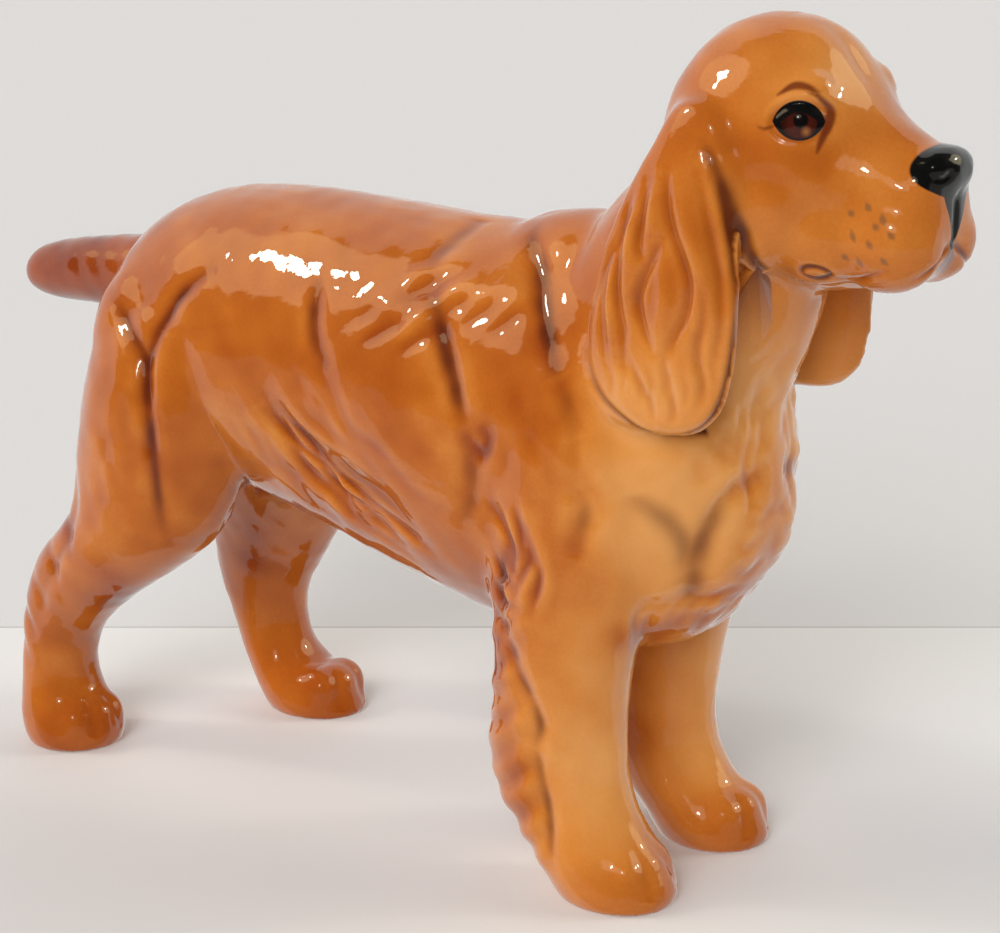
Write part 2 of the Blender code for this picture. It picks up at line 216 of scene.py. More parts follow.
upright([
    trunk_row(0.000, 0.50, 0.76, 0.40),
    trunk_row(0.028, 0.40, 0.85, 0.68),
    trunk_row(0.086, 0.29, 0.935, 0.85),
    trunk_row(0.174, 0.225, 0.985, 0.92),
    trunk_row(0.287, 0.190, 1.000, 0.94),
    trunk_row(0.430, 0.115, 0.990, 0.98),
    trunk_row(0.585, 0.040, 0.970, 1.02),
    trunk_row(0.725, 0.000, 0.985, 1.01),
    trunk_row(0.835, 0.005, 0.975, 0.95),
    trunk_row(0.920, 0.070, 0.900, 0.80),
    trunk_row(0.972, 0.200, 0.790, 0.58),
    trunk_row(1.000, 0.360, 0.660, 0.34),
])
print("barrel from", round(trunk_rear, 1), "to", round(trunk_front, 1))

# %% Raise the neck
head_high = HIGH["head_casting"]
neck_foot = np.array((trunk_rear + 0.775 * (trunk_front - trunk_rear), 0.0, trunk_floor + 36.0))
neck_head = np.array((head_high[0] - 32.0, 0.0, head_high[2] - 22.0))
neck_way = (neck_head - neck_foot) / np.linalg.norm(neck_head - neck_foot)
neck_across = np.cross(neck_way, (0.0, 1.0, 0.0))
loft(
    [
        (neck_foot + share * (neck_head - neck_foot), wide, deep)
        for share, deep, wide in (
            (0.00, 22.5, 20.0), (0.30, 23.3, 20.0), (0.58, 20.2, 17.8), (0.80, 17.0, 16.4),
            (1.00, 13.5, 13.5),
        )
    ],
    neck_way, (0.0, 1.0, 0.0), neck_across,
)
# the withers
ball(neck_foot + (-7.0, 0.0, 25.0), (21.0, 15.0, 13.0), (0.0, -8.0, 0.0))
print("neck is", round(float(np.linalg.norm(neck_head - neck_foot)), 1), "mm long")

# %% Draw out the tail
tail_low = LOW["tail"]
tail_high = HIGH["tail"]


def tail_row(station, low, high, wide):
    """One oval of the tail from shares of the tail casting's box."""
    size = tail_high - tail_low
    x = tail_high[0] - station * size[0]
    return x, tail_low[2] + low * size[2], tail_low[2] + high * size[2], wide * size[1] / 2


upright([
    tail_row(-0.40, 0.02, 1.12, 1.05),
    tail_row(0.00, 0.03, 1.02, 1.00),
    tail_row(0.30, 0.02, 0.95, 0.90),
    tail_row(0.58, 0.00, 0.86, 0.84),
    tail_row(0.82, 0.01, 0.75, 0.77),
    tail_row(0.95, 0.08, 0.63, 0.60),
    tail_row(0.995, 0.20, 0.50, 0.34),
])
print("tail from", round(float(tail_low[0]), 1), "to", round(float(tail_high[0]), 1))

# %% [markdown]
# ## Legs and paws
#
# Each leg is a loft from its sole to the shoulder or the thigh, and three balls on each paw are its
# toes.  The left hind leg stands a step further forward than the right one.  A leg could be drawn
# out of the trunk with extrude, but a loft that runs up into the trunk gives the shoulder and the
# thigh their bulge in the same stroke.

# %% Write down the legs
# each row: share of the leg's height, rear and front, distance from the middle, half width
SHOULDER = (
    (1.16, -0.49, 0.55, 0.98, 1.13), (1.35, -0.62, 0.78, 0.95, 1.27),
    (1.60, -0.57, 0.80, 0.88, 1.30), (1.85, -0.33, 0.47, 0.72, 1.08),
)
THIGH = (
    (1.000, -0.50, 0.50, 0.87, 1.00), (1.137, -0.51, 0.62, 0.80, 1.08),
    (1.300, -0.49, 0.71, 0.73, 1.13), (1.466, -0.42, 0.68, 0.66, 1.09),
    (1.630, -0.17, 0.56, 0.52, 0.90),
)
RIGHT_FORE = (
    (-0.083, 0.07, 0.84, 1.02, 0.84), (0.083, -0.02, 0.92, 1.02, 1.01),
    (0.250, -0.28, 0.68, 1.01, 0.96), (0.470, -0.54, 0.49, 1.00, 0.90),
    (0.720, -0.55, 0.46, 1.00, 0.92), (1.000, -0.47, 0.46, 0.99, 1.00),
)
LEFT_FORE = (
    (-0.083, 0.07, 0.80, 1.02, 0.84), (0.083, -0.02, 0.88, 1.02, 1.01),
    (0.250, -0.28, 0.58, 1.01, 0.94), (0.470, -0.52, 0.38, 1.00, 0.88),
    (0.720, -0.53, 0.40, 1.00, 0.90), (1.000, -0.47, 0.45, 0.99, 1.00),
)
RIGHT_HIND = (
    (-0.065, -0.89, -0.38, 1.00, 0.68), (0.065, -0.95, -0.28, 1.00, 0.83),
    (0.196, -0.96, -0.50, 0.99, 0.64), (0.348, -0.95, -0.53, 0.99, 0.58),
    (0.500, -0.945, -0.44, 0.99, 0.60), (0.652, -0.89, -0.17, 0.98, 0.70),
    (0.760, -0.83, 0.08, 0.96, 0.78), (0.870, -0.69, 0.30, 0.93, 0.90),
)
LEFT_HIND = (
    (-0.065, -0.14, 0.44, 1.00, 0.68), (0.065, -0.24, 0.52, 1.00, 0.83),
    (0.196, -0.34, 0.07, 0.99, 0.64), (0.348, -0.45, 0.01, 0.99, 0.58),
    (0.500, -0.56, 0.02, 0.99, 0.60), (0.652, -0.60, 0.18, 0.98, 0.70),
    (0.760, -0.60, 0.29, 0.96, 0.78), (0.870, -0.53, 0.38, 0.93, 0.90),
)
print("ovals in a foreleg:", len(RIGHT_FORE + SHOULDER), "and in a hind leg:", len(RIGHT_HIND + THIGH))

# %% Build the legs
# depth, width and stance, in millimetres
FORE_SIZE = (25.5, 20.0, 30.5)
HIND_SIZE = (33.5, 24.5, 42.4)


def leg(rows, face, line, size, side):
    """A leg from shares of its height, depth, half width and stance."""
    depth, width, stance = size
    body = trunk_back - trunk_floor
    level([
        (
            share * face if share <= 1 else face + (share - 1) * body,
            line + rear * depth, line + front * depth, side * middle * stance / 2,
            wide * width / 2,
        )
        for share, rear, front, middle, wide in rows
    ])


fore_face = HIGH["right_foreleg"][2] + 0.3
hind_face = HIGH["right_hindleg"][2] + 0.3
fore_line = trunk_rear + 0.778 * (trunk_front - trunk_rear)
hind_line = trunk_rear + 0.115 * (trunk_front - trunk_rear)
leg(RIGHT_FORE + SHOULDER, fore_face, fore_line, FORE_SIZE, -1)
leg(LEFT_FORE + SHOULDER, fore_face, fore_line, FORE_SIZE, 1)
leg(RIGHT_HIND + THIGH, hind_face, hind_line, HIND_SIZE, -1)
leg(LEFT_HIND + THIGH, hind_face, hind_line, HIND_SIZE, 1)
# the haunches
both_sides((hind_line - 1.5, 12.5, hind_face + 32.0), (13.5, 12.5, 17.0))
print("lumps so far:", len(clay))

# %% Press on the toes
TOE_TURNS = (-0.58, 0.0, 0.58)
paws = {
    mount["name"]: np.array(mount["pos_m"]) / MM for mount in frame["record"]["mounts"]
}
for paw_x, paw_y, _ in paws.values():
    for turn in TOE_TURNS:
        ball(
            (paw_x + 4.9 * math.cos(turn), paw_y + 5.8 * math.sin(turn), 4.6), (5.0, 4.4, 5.1),
            (0.0, 0.0, math.degrees(turn) * 0.5),
        )
print("toes:", len(paws) * len(TOE_TURNS))

# %% [markdown]
# ## The head
#
# The skull and the muzzle are one loft.  Cheeks, lips, brows, chin and nose are balls pressed on,
# as a modeller adds pellets of clay.  They could be pulled out of the loft's own surface, but a
# pellet can be moved on its own until the face is right.

# %% Build the skull and the muzzle
HEAD_LENGTH = 48.0
HEAD_DEPTH = 44.5
HALF_HEAD = 17.75


def head_row(station, low, high, wide):
    """One oval of the head, measured back from the lips and down from the crown."""
    front = head_high[0] - 0.2
    floor = head_high[2] - HEAD_DEPTH
    x = front - HEAD_LENGTH * (1 - station)
    return x, floor + HEAD_DEPTH * low, floor + HEAD_DEPTH * high, HALF_HEAD * wide


upright([
    head_row(0.000, 0.390, 0.690, 0.46),
    head_row(0.055, 0.210, 0.850, 0.76),
    head_row(0.170, 0.055, 0.975, 0.96),
    head_row(0.315, 0.020, 1.014, 1.02),
    head_row(0.455, 0.040, 1.005, 0.99),
    head_row(0.580, 0.060, 0.935, 0.87),
    head_row(0.675, 0.080, 0.770, 0.70),
    head_row(0.770, 0.095, 0.665, 0.60),
    head_row(0.885, 0.120, 0.610, 0.55),
    head_row(0.960, 0.190, 0.545, 0.42),
    head_row(0.985, 0.270, 0.450, 0.25),
])
print("head loft is", HEAD_LENGTH, "mm long")

# %% Press on the lips, the cheeks, the brows, the chin and the nose
nose = np.array((head_high[0] - 3.4, 0.0, head_high[2] - 21.6))
# upper lips
both_sides(nose + (-5.9, 5.9, -10.8), (8.8, 6.4, 7.8), (0.0, 12.0, -8.0))
ball(nose + (-5.6, 0.0, -8.0), (7.6, 6.5, 7.0))
# flews and cheeks
both_sides(nose + (-16.0, 8.0, -10.5), (10.0, 6.5, 7.5), (0.0, 6.0, -10.0))
both_sides(nose + (-24.5, 10.0, -6.0), (10.5, 7.6, 10.5))
# brows and eyeballs
both_sides(nose + (-18.5, 8.2, 10.2), (5.0, 4.8, 4.2), (20.0, 0.0, 0.0))
both_sides(nose + (-18.6, 11.0, 6.6), (4.4, 4.4, 3.7))
# chin and nose
ball(nose + (-9.5, 0.0, -14.0), (8.5, 5.5, 3.6), (0.0, -10.0, 0.0))
ball(nose, (4.0, 6.9, 3.9))
print("lumps so far:", len(clay))

# %% [markdown]
# ## The ears
#
# A spaniel's ears are long leaves that hang from the level of the eye and lie on the neck.  They
# are modelled as thick leaves pressed onto the head, so that their roots melt into it.  A thin
# sheet could be bent into place, but a mould couldn't release it, and the real ear is thick clay.

# %% Hang the ears
EAR_DEPTH = 28.5
HALF_EAR = 3.5
ear_low = LOW["right_ear"]
ear_high = HIGH["right_ear"]
# each row: share of the drop, rear and front edge, spread from the head, thickness
EAR = (
    (0.00, -0.02, 0.24, 0.00, 0.50), (0.12, -0.10, 0.34, 0.28, 0.84),
    (0.27, -0.26, 0.41, 0.52, 1.00), (0.46, -0.41, 0.47, 0.72, 1.00),
    (0.69, -0.49, 0.49, 0.90, 1.00), (0.86, -0.49, 0.46, 0.98, 0.95),
    (0.96, -0.35, 0.36, 1.00, 0.84), (1.00, -0.16, 0.18, 1.00, 0.60),
)
ear_line = ear_low[0] + 14.3
# the root of the ear, and the fold of skin between the ear and the cheek
both_sides((ear_line + 2.0, 15.0, ear_high[2] - 7.5), (5.6, 3.6, 6.5), (0.0, -20.0, 0.0))
both_sides((ear_line + 9.5, 12.2, ear_high[2] - 21.0), (7.5, 5.6, 7.0))
for side in (-1, 1):
    level([
        (
            ear_high[2] - 0.4 - drop * (ear_high[2] - ear_low[2] - 0.6),
            ear_line + rear * EAR_DEPTH, ear_line + front * EAR_DEPTH,
            side * (16.4 + spread * 5.0), thick * HALF_EAR,
        )
        for drop, rear, front, spread, thick in EAR
    ])
print("lumps in all:", len(clay))

# %% [markdown]
# ## Smoothing the clay together
#
# The lumps are joined and remeshed as one volume, which welds them.  Passes of smoothing round the
# corners between lumps, as a wet thumb does.  A boolean union would weld them too, but it leaves
# long thin faces at every seam, and those can't be smoothed.

# %% Read and write the points of a mesh
def read(items, field, width=1, kind=np.float32):
    """One number, or one row of numbers, for each item of a mesh."""
    flat = np.empty(len(items) * width, kind)
    items.foreach_get(field, flat)
    return flat.reshape(-1, width) if width > 1 else flat


def places_of(mesh):
    """The mesh's points in millimetres."""
    return read(mesh.vertices, "co", 3).astype(float) / MM


def put_places(mesh, places):
    """Write the points back."""
    mesh.vertices.foreach_set("co", (places * MM).astype(np.float32).ravel())
    mesh.update()


def edges_of(mesh):
    """The mesh's edges as pairs of point numbers."""
    return read(mesh.edges, "vertices", 2, np.int32)


print("points of the last lump:", len(places_of(clay[-1].data)))

# %% Make a thumb that smooths
PULL_IN = 0.60
PUSH_OUT = -0.58


def relaxed(places, edges, factor):
    """Move each point towards the middle of its neighbours."""
    count = np.bincount(edges.ravel(), minlength=len(places))
    total = np.empty_like(places)
    for axis in range(3):
        column = places[:, axis]
        total[:, axis] = np.bincount(
            edges[:, 0], weights=column[edges[:, 1]], minlength=len(places)
        ) + np.bincount(edges[:, 1], weights=column[edges[:, 0]], minlength=len(places))
    return places + factor * (total / np.maximum(count, 1)[:, None] - places)


def thumb(places, edges, times, where=1.0):
    """Smooth without shrinking: each pull in is followed by a push out."""
    share = np.broadcast_to(np.asarray(where, float), (len(places),))[:, None]
    for _ in range(times):
        places = places + share * (relaxed(places, edges, PULL_IN) - places)
        places = places + share * (relaxed(places, edges, PUSH_OUT) - places)
    return places


print("each pass pulls in by", PULL_IN, "and pushes out by", -PUSH_OUT)

# %% Join, remesh and smooth
FIRST_VOXEL = 1.0
FIRST_PASSES = 14
FINE_VOXEL = 0.66
FINE_PASSES = 6


def remesh(obj, voxel):
    """Make one even skin round all the clay."""
    weld = obj.modifiers.new("weld", "REMESH")
    weld.mode = "VOXEL"
    weld.voxel_size = voxel * MM
    bpy.context.view_layer.objects.active = obj
    bpy.ops.object.modifier_apply(modifier=weld.name)


deselect()
for lump in clay:
    bpy.context.view_layer.objects.active = lump
    lump.select_set(True)
    for modifier in list(lump.modifiers):
        bpy.ops.object.modifier_apply(modifier=modifier.name)
bpy.ops.object.join()
dog = bpy.context.object
dog.name = "clay_dog"
remesh(dog, FIRST_VOXEL)
places = thumb(places_of(dog.data), edges_of(dog.data), FIRST_PASSES)
put_places(dog.data, places)
remesh(dog, FINE_VOXEL)
places = thumb(places_of(dog.data), edges_of(dog.data), FINE_PASSES)
places[:, 2] = np.maximum(places[:, 2], 0.0)
put_places(dog.data, places)
print("skin has", len(dog.data.vertices), "points")

# %% [markdown]
# ## Finer skin for the head, the ears and the legs
#
# Eyelids and toes are smaller than the folds of the coat, so their skin gets four faces for each
# one.  A finer voxel over the whole dog would do it too, but the plain flanks would then cost most
# of the faces.

# %% Refine the head, the ears and the legs
head_floor = LOW["head_casting"][2]
ear_floor = LOW["right_ear"][2]
NECK_CUT = 0.58
neck_cut = neck_foot + NECK_CUT * (neck_head - neck_foot)


def fine_region(spots):
    """True for the points of the head, the ears and the legs."""
    above_neck = (spots - neck_cut) @ neck_way > -1.0
    ears = (np.abs(spots[:, 1]) > 12.0) & (spots[:, 2] > ear_floor - 2.0)
    ears &= (spots[:, 0] > LOW["right_ear"][0] - 1.0) & (spots[:, 0] < HIGH["right_ear"][0] + 1.0)
    legs = spots[:, 2] < fore_face + 1.0
    return above_neck | ears | legs


take(dog)
bpy.ops.object.mode_set(mode="EDIT")
bpy.ops.mesh.select_all(action="DESELECT")
bpy.ops.object.mode_set(mode="OBJECT")
fine = fine_region(places_of(dog.data))
ends = edges_of(dog.data)
dog.data.vertices.foreach_set("select", fine)
dog.data.edges.foreach_set("select", fine[ends].all(axis=1))
corners = read(dog.data.loops, "vertex_index", kind=np.int32)
starts = read(dog.data.polygons, "loop_start", kind=np.int32)
dog.data.polygons.foreach_set("select", np.logical_and.reduceat(fine[corners], starts))
bpy.ops.object.mode_set(mode="EDIT")
bpy.ops.mesh.subdivide(number_cuts=1)
bpy.ops.object.mode_set(mode="OBJECT")
spots = places_of(dog.data)
spots = thumb(spots, edges_of(dog.data), 5, fine_region(spots))
put_places(dog.data, spots)
print("skin now has", len(spots), "points")

# %% [markdown]
# ## The loop tool
#
# Hair on a slip-cast figure is cut into the model with a loop tool: long strokes that follow the
# lie of the coat, deep at folds and shallow on the flanks.  Here a stroke is a smooth line drawn in
# a side, front or top view.  Every point of the skin near the line is pressed in along its own
# normal, and the same stroke can carry brown stain, because a potter brushes stain into the folds
# and wipes the ridges.  A bump map would be quicker, but its outline would stay smooth.

# %% Draw smooth lines and measure to them

def smooth_line(points, steps=6):
    """A curve through the points, drawn as short straight pieces."""
    points = np.array(points, float)
    padded = np.vstack([2 * points[0] - points[1], points, 2 * points[-1] - points[-2]])
    curve = []
    for before, here, there, after in zip(padded, padded[1:], padded[2:], padded[3:]):
        for share in np.arange(steps) / steps:
            bend = 2 * before - 5 * here + 4 * there - after
            twist = 3 * here - before - 3 * there + after
            curve.append(
                here + 0.5 * share * (there - before + share * (bend + share * twist))
            )
    return np.array(curve + [points[-1]])


def gap_to_line(flat, line):
    """Each spot's distance to the line, and how far along the line it lies, from 0 to 1."""
    lengths = np.linalg.norm(np.diff(line, axis=0), axis=1)
    reach = np.concatenate([[0.0], np.cumsum(lengths)])
    best = np.full(len(flat), 1e9)
    along = np.zeros(len(flat))
    for index, length in enumerate(lengths):
        way = (line[index + 1] - line[index]) / max(length, 1e-9)
        offset = flat - line[index]
        run = np.clip(offset @ way, 0.0, length)
        gap = np.linalg.norm(offset - run[:, None] * way, axis=1)
        nearer = gap < best
        best[nearer] = gap[nearer]
        along[nearer] = (reach[index] + run[nearer]) / reach[-1]
    return best, along


print("a line through three points has", len(smooth_line([(0, 0), (1, 1), (2, 0)])), "places")

# %% See the skin from a view
SIDE_VIEW = (0, 2)
FRONT_VIEW = (1, 2)
TOP_VIEW = (0, 1)
SIDE_ON = 0.12
FACE_ON = 0.1


def normals_of(mesh):
    """The unit normals of the mesh's points."""
    return read(mesh.vertex_normals, "vector", 3).astype(float)


def facing(view, side):
    """True where the skin can be seen in the view, on one side of the dog."""
    if view == SIDE_VIEW:
        return (spots[:, 1] * side > 0.0) & (normals[:, 1] * side > SIDE_ON)
    if view == FRONT_VIEW:
        return normals[:, 0] > FACE_ON
    return normals[:, 2] > FACE_ON


normals = normals_of(dog.data)
joints = edges_of(dog.data)
seen = {
    (view, side): facing(view, side) for view in (SIDE_VIEW, FRONT_VIEW, TOP_VIEW) for side in (-1, 1)
}
print("points seen from the right:", int(seen[SIDE_VIEW, -1].sum()))

# %% Press one stroke
relief = np.zeros(len(spots))
fold = np.zeros(len(spots))


def stroke(points, width, depth, stain=0.0, stain_width=None, sides=(-1, 1), view=SIDE_VIEW,
           within=None, blunt=False):
    """Press a groove (or raise a lock, with a negative depth) along a line."""
    stain_width = stain_width or width
    reach = 2.4 * max(width, stain_width)
    for side in sides:
        line = smooth_line(points)
        if view != SIDE_VIEW:
            line = line * ((side, 1) if view == FRONT_VIEW else (1, side))
        low = line.min(axis=0) - reach
        high = line.max(axis=0) + reach
        near = seen[view, side].copy()
        for column, axis in enumerate(view):
            near &= (spots[:, axis] > low[column]) & (spots[:, axis] < high[column])
        if within is not None:
            near &= within
        near = np.flatnonzero(near)
        if not len(near):
            continue
        gap, along = gap_to_line(spots[near][:, view], line)
        taper = np.ones(len(near)) if blunt else np.sqrt(np.sin(np.pi * np.clip(along, 0.02, 0.98)))
        relief[near] -= depth * taper * np.exp(-((gap / width) ** 2))
        fold[near] = np.maximum(fold[near], stain * taper * np.exp(-((gap / stain_width) ** 2)))


print("the tool is ready for", len(relief), "points")

# %% Comb many strokes
chance = np.random.default_rng(7)


def comb(guides, count, width, depth, stain=0.0, wave=0.5, wave_length=9.0, share=(0.45, 0.95),
         **where):
    """Cut many wavy strokes between guide lines, each at its own length and depth."""
    guides = [smooth_line(guide, 4) for guide in guides]
    for number in range(count):
        spread = (number + 0.5 + chance.uniform(-0.35, 0.35)) / count * (len(guides) - 1)
        index = min(int(spread), len(guides) - 2)
        mix = spread - index
        line = guides[index] * (1 - mix) + guides[index + 1] * mix
        size = chance.uniform(*share)
        start = chance.uniform(0.0, 1.0 - size)
        first = int(start * (len(line) - 1))
        last = max(first + 4, int((start + size) * (len(line) - 1)))
        line = line[first:last + 1]
        way = np.gradient(line, axis=0)
        way /= np.linalg.norm(way, axis=1)[:, None] + 1e-9
        run = np.linalg.norm(np.diff(line, axis=0), axis=1).sum() * np.linspace(0, 1, len(line))
        sway = wave * np.sin(run / wave_length * 2 * np.pi + chance.uniform(0, 6.3))
        line = line + sway[:, None] * np.stack([-way[:, 1], way[:, 0]], axis=1)
        stroke(
            line[::2] if len(line) > 9 else line, width * chance.uniform(0.7, 1.3),
            depth * chance.uniform(0.5, 1.25), stain * chance.uniform(0.4, 1.0), **where
        )


print("the comb draws its lengths and depths by chance, from a fixed seed")

# %% Ripple the skin and press the strokes in
RUMP = LOW["trunk_casting"][0]
pressed = np.zeros(len(spots))


def ripples(where, size, seed):
    """A smooth random swell over the skin, between about -1 and 1."""
    draw = np.random.default_rng(seed)
    total = np.zeros(len(where))
    for _ in range(9):
        way = draw.normal(size=3)
        way *= 2 * np.pi / size / np.linalg.norm(way) * draw.uniform(0.7, 1.4)
        total += np.sin(where @ way + draw.uniform(0, 2 * np.pi))
    return total / 4.0


def press_all():
    """Move the skin by the relief cut so far, and measure the normals again."""
    global spots, normals, seen, pressed
    pressed = pressed + relief
    spots = spots + relief[:, None] * normals
    relief[:] = 0.0
    put_places(dog.data, spots)
    normals = normals_of(dog.data)
    seen = {key: facing(*key) for key in seen}


def body(*points):
    """Side-view points: millimetres ahead of the rump, and above the table."""
    return [(RUMP + ahead, above) for ahead, above in points]


print("strokes are measured from the rump, at", round(float(RUMP), 1))

# %% [markdown]
# ## The coat
#
# The modeller first sinks the few deep folds that show from across a room, and then combs the fine
# hair between them.  The folds are drawn one by one.  The hair is combed between guide lines, with
# some chance in it, because even hair looks ploughed.

# %% Fold the coat
# the thigh
stroke(body((13, 90.5), (19.7, 86.2), (26, 80.7), (28.3, 72), (30, 60), (30.5, 47)), 1.9, 1.0, 0.85, 1.1)
stroke(body((37.5, 97), (32, 92.4), (28.7, 86.5), (27.4, 80), (28, 74)), 1.9, 0.85, 0.78, 1.3)
stroke(body((20, 90), (24, 84), (28, 78)), 4.5, 0.5, 0.12, 5.0)
stroke(body((15, 80), (19, 68), (22, 54)), 6.0, -0.8)
stroke(body((40, 88), (42, 76), (44, 62)), 10.0, -0.9)
# the flank and the groin
stroke(body((62.5, 99), (63.7, 93.4), (66, 87.7), (70, 84)), 2.0, 0.6, 0.75, 1.5)
stroke(body((55, 78), (60, 71.5), (69, 67), (80, 62.6), (88, 56.6)), 2.4, 1.1, 0.45, 1.4)
stroke(body((50, 84), (54, 74), (60, 65), (66, 60)), 3.5, 0.5, 0.12, 2.5)
stroke(body((74, 94), (80, 86), (84, 76), (84, 68)), 9.0, -0.8)
# the ribs behind the shoulder
stroke(body((87.5, 108.5), (85.6, 107.6), (84, 105), (84.5, 101.5)), 2.6, 0.5, 0.50, 2.2)
stroke(body((86.5, 100), (91.3, 93.3), (96, 86), (99, 78.4)), 2.1, 0.8, 0.85, 1.6)
stroke(body((98.6, 80), (100.4, 73), (99.5, 66), (97, 60)), 2.3, 0.6, 0.50, 1.8)
stroke(body((101.5, 79.6), (104, 77.6), (103, 75.2), (100.4, 76.4)), 1.6, 0.7, 0.42, 1.6)
# the shoulder and the neck
stroke(body((98.5, 109.5), (103, 106.2), (107.7, 101), (112.3, 94), (116.6, 88.7)), 2.3, 1.0, 0.95, 1.6)
stroke(body((116, 89.5), (118.6, 85), (120.5, 80)), 2.4, 0.6, 0.35, 1.9)
stroke(body((121.3, 72.5), (122.6, 68.9), (122, 64), (121, 60)), 2.0, 0.7, 0.45, 1.5)
stroke(body((112, 92), (110, 80), (112, 68)), 6.0, -0.6)
print("deepest fold so far:", round(float(-relief.min()), 2), "mm")

# %% Cut slanting locks, which break up the shine
for ahead, above, long, rise, size in (
    (73, 95.5, 8, 1.5, 0.60), (75, 92.0, 9, 4.0, 0.70), (80, 99.0, 9, 4.5, 0.55),
    (83, 91.5, 9, 5.0, 0.80), (87, 96.5, 9, 4.5, 0.65), (94, 97.0, 8, 4.0, 0.45),
    (100, 96.0, 6, 4.5, 0.40),
):
    lock = body(
        (ahead, above), (ahead + long / 2, above + rise * 0.65), (ahead + long, above + rise)
    )
    stroke(lock, 1.7, -size * 0.7)
    stroke([(x + 0.9, z - 2.7) for x, z in lock], 1.4, size * 0.55, 0.14, 1.2)
print("locks run up to", round(float(relief.max()), 2), "mm proud")

# %% Fold the breast and the feathering
FRONT_FOLD = [(4.5, 72.6), (10.1, 71.2), (12.9, 66.5), (13.3, 60.4), (11.6, 54.0), (9.8, 49.5)]
stroke(FRONT_FOLD, 2.1, 1.3, 0.66, 1.8, view=FRONT_VIEW)
stroke([(21.5, 72.0), (18.4, 67.6), (15.6, 62.5), (13.6, 57.5)], 2.1, 1.0, 0.56, 1.7, view=FRONT_VIEW)
stroke([(4.0, 68), (6.5, 61), (6.5, 54)], 5.0, -1.1, view=FRONT_VIEW)
# the feathering behind each foreleg
for crease in (
    ((108.0, 61), (105.5, 55), (105.3, 50), (107, 44)), ((107, 44.5), (110, 38), (112.8, 33.5)),
    ((112.0, 35), (113.6, 30), (112.4, 25.5)), ((112.6, 27), (113.8, 20), (115.6, 14), (116.4, 7)),
):
    stroke(body(*crease), 1.8, 0.9, 0.62, 1.15)
# the feathering behind each hind leg
stroke([(x + 14.9, z) for x, z in body((2.6, 44.5), (-3.0, 37), (-9.0, 29.0), (-12.0, 21))],
       1.8, 0.7, 0.35, 1.6, sides=(1,))
stroke(
    body((7.0, 56), (7.5, 48), (4.0, 40), (-0.5, 33), (-4.5, 24)), 2.2, 0.7, 0.30, 1.7, sides=(-1,)
)
press_all()
print("deepest fold:", round(float(-pressed.min()), 2), "mm")

# %% Comb the flank and the shoulder
# the flank hair runs down and forward from the loin to the belly
comb(
    [
        body((47, 72), (52, 64), (57, 58), (62, 54)),
        body((56, 80), (64, 69), (76, 60), (88, 52)),
        body((66, 86), (76, 76), (88, 68), (98, 60)),
    ],
    26, 1.5, 0.24, 0.08, wave=0.7, wave_length=14.0, share=(0.6, 1.0),
)
comb(
    [body((52, 76), (60, 64), (70, 57), (88, 49)), body((56, 78), (66, 68), (78, 61), (94, 53))],
    18, 0.95, 0.45, 0.22, wave=0.5, wave_length=14.0, share=(0.5, 1.0),
)
# the shoulder and the upper arm
comb(
    [
        body((99, 72), (101, 64), (106, 57), (112, 50)),
        body((104, 84), (106, 74), (110, 64), (116, 54)),
        body((112, 92), (114, 82), (118, 70), (121, 58)),
        body((120, 86), (123, 78), (126, 70), (127, 60)),
    ],
    18, 1.8, 0.22, 0.07, wave=1.2, wave_length=12.0,
)
# curls behind the elbow
for curl in (
    ((105, 66), (107.9, 62.3), (109.1, 58.4), (108.3, 53.9)),
    ((112, 66), (113.1, 59.2), (110.9, 55.4), (109, 51)),
    ((104, 58), (106, 55), (110, 54)), ((103, 53), (107, 50.5), (112, 51)),
    ((110, 68), (111, 62), (111, 58)), ((114, 62), (115, 56), (113, 50)),
    ((102, 48), (106, 46.5), (110, 48)),
):
    stroke(body(*curl), 1.1, 0.55, 0.30, 1.0)
    stroke([(x + 1.8, z + 0.4) for x, z in body(*curl)], 1.2, -0.35)
print("combed the flank and the shoulder")

# %% Comb the thighs and the legs
# the thigh and the seat
comb([body((12, 86), (14, 74), (16, 62), (14, 50)), body((24, 78), (26, 66), (27, 56), (26, 48))],
     8, 2.2, 0.25, 0.05, wave=0.8)
comb([body((32, 80), (36, 68), (40, 58), (44, 50)), body((46, 82), (50, 72), (54, 64), (58, 58))],
     10, 2.0, 0.14, 0.04, wave=0.6)
# the feather of the forelegs, cut on a slant
for above, ahead, long, size in (
    (47.0, 99.0, 8.0, 0.8), (42.0, 98.5, 9.5, 0.5), (38.5, 99.0, 11.0, 0.9),
    (33.0, 98.5, 10.0, 0.6), (29.0, 98.5, 12.0, 1.0), (22.5, 99.0, 11.0, 0.6),
    (18.5, 101.0, 12.0, 0.9), (12.0, 103.0, 11.0, 0.7), (7.5, 107.0, 8.0, 0.6),
):
    lock = body((ahead, above - 3.0), (ahead + long * 0.5, above), (ahead + long, above + 5.0))
    stroke(lock, 1.7, 0.6 * size, 0.22, 1.5, within=spots[:, 2] < 54)
    stroke([(x + 0.5, z - 2.4) for x, z in lock], 2.2, -0.6 * size, within=spots[:, 2] < 54)
comb(
    [
        body((112, 40), (115, 30), (116, 20), (118, 12)),
        body((118, 44), (121, 32), (122, 22), (123, 14)),
    ],
    6, 1.6, 0.14, 0.05, wave=0.8,
)
# the feather of the hind legs; the left one stands further forward
LEFT_STEP = 14.0
for side, step in ((-1, 0.0), (1, LEFT_STEP)):
    for above, ahead, size in (
        (47, 3.0, 0.6), (41, -2.0, 0.8), (34.5, -7.0, 0.7), (28, -11.0, 0.8), (21.5, -12.5, 0.5),
    ):
        start = ahead + step
        stroke(
            body((start, above), (start + 4, above - 3), (start + 6, above - 7)),
            1.6, 0.6 * size, 0.25, 1.4, sides=(side,),
        )
print("combed the thighs and the legs")

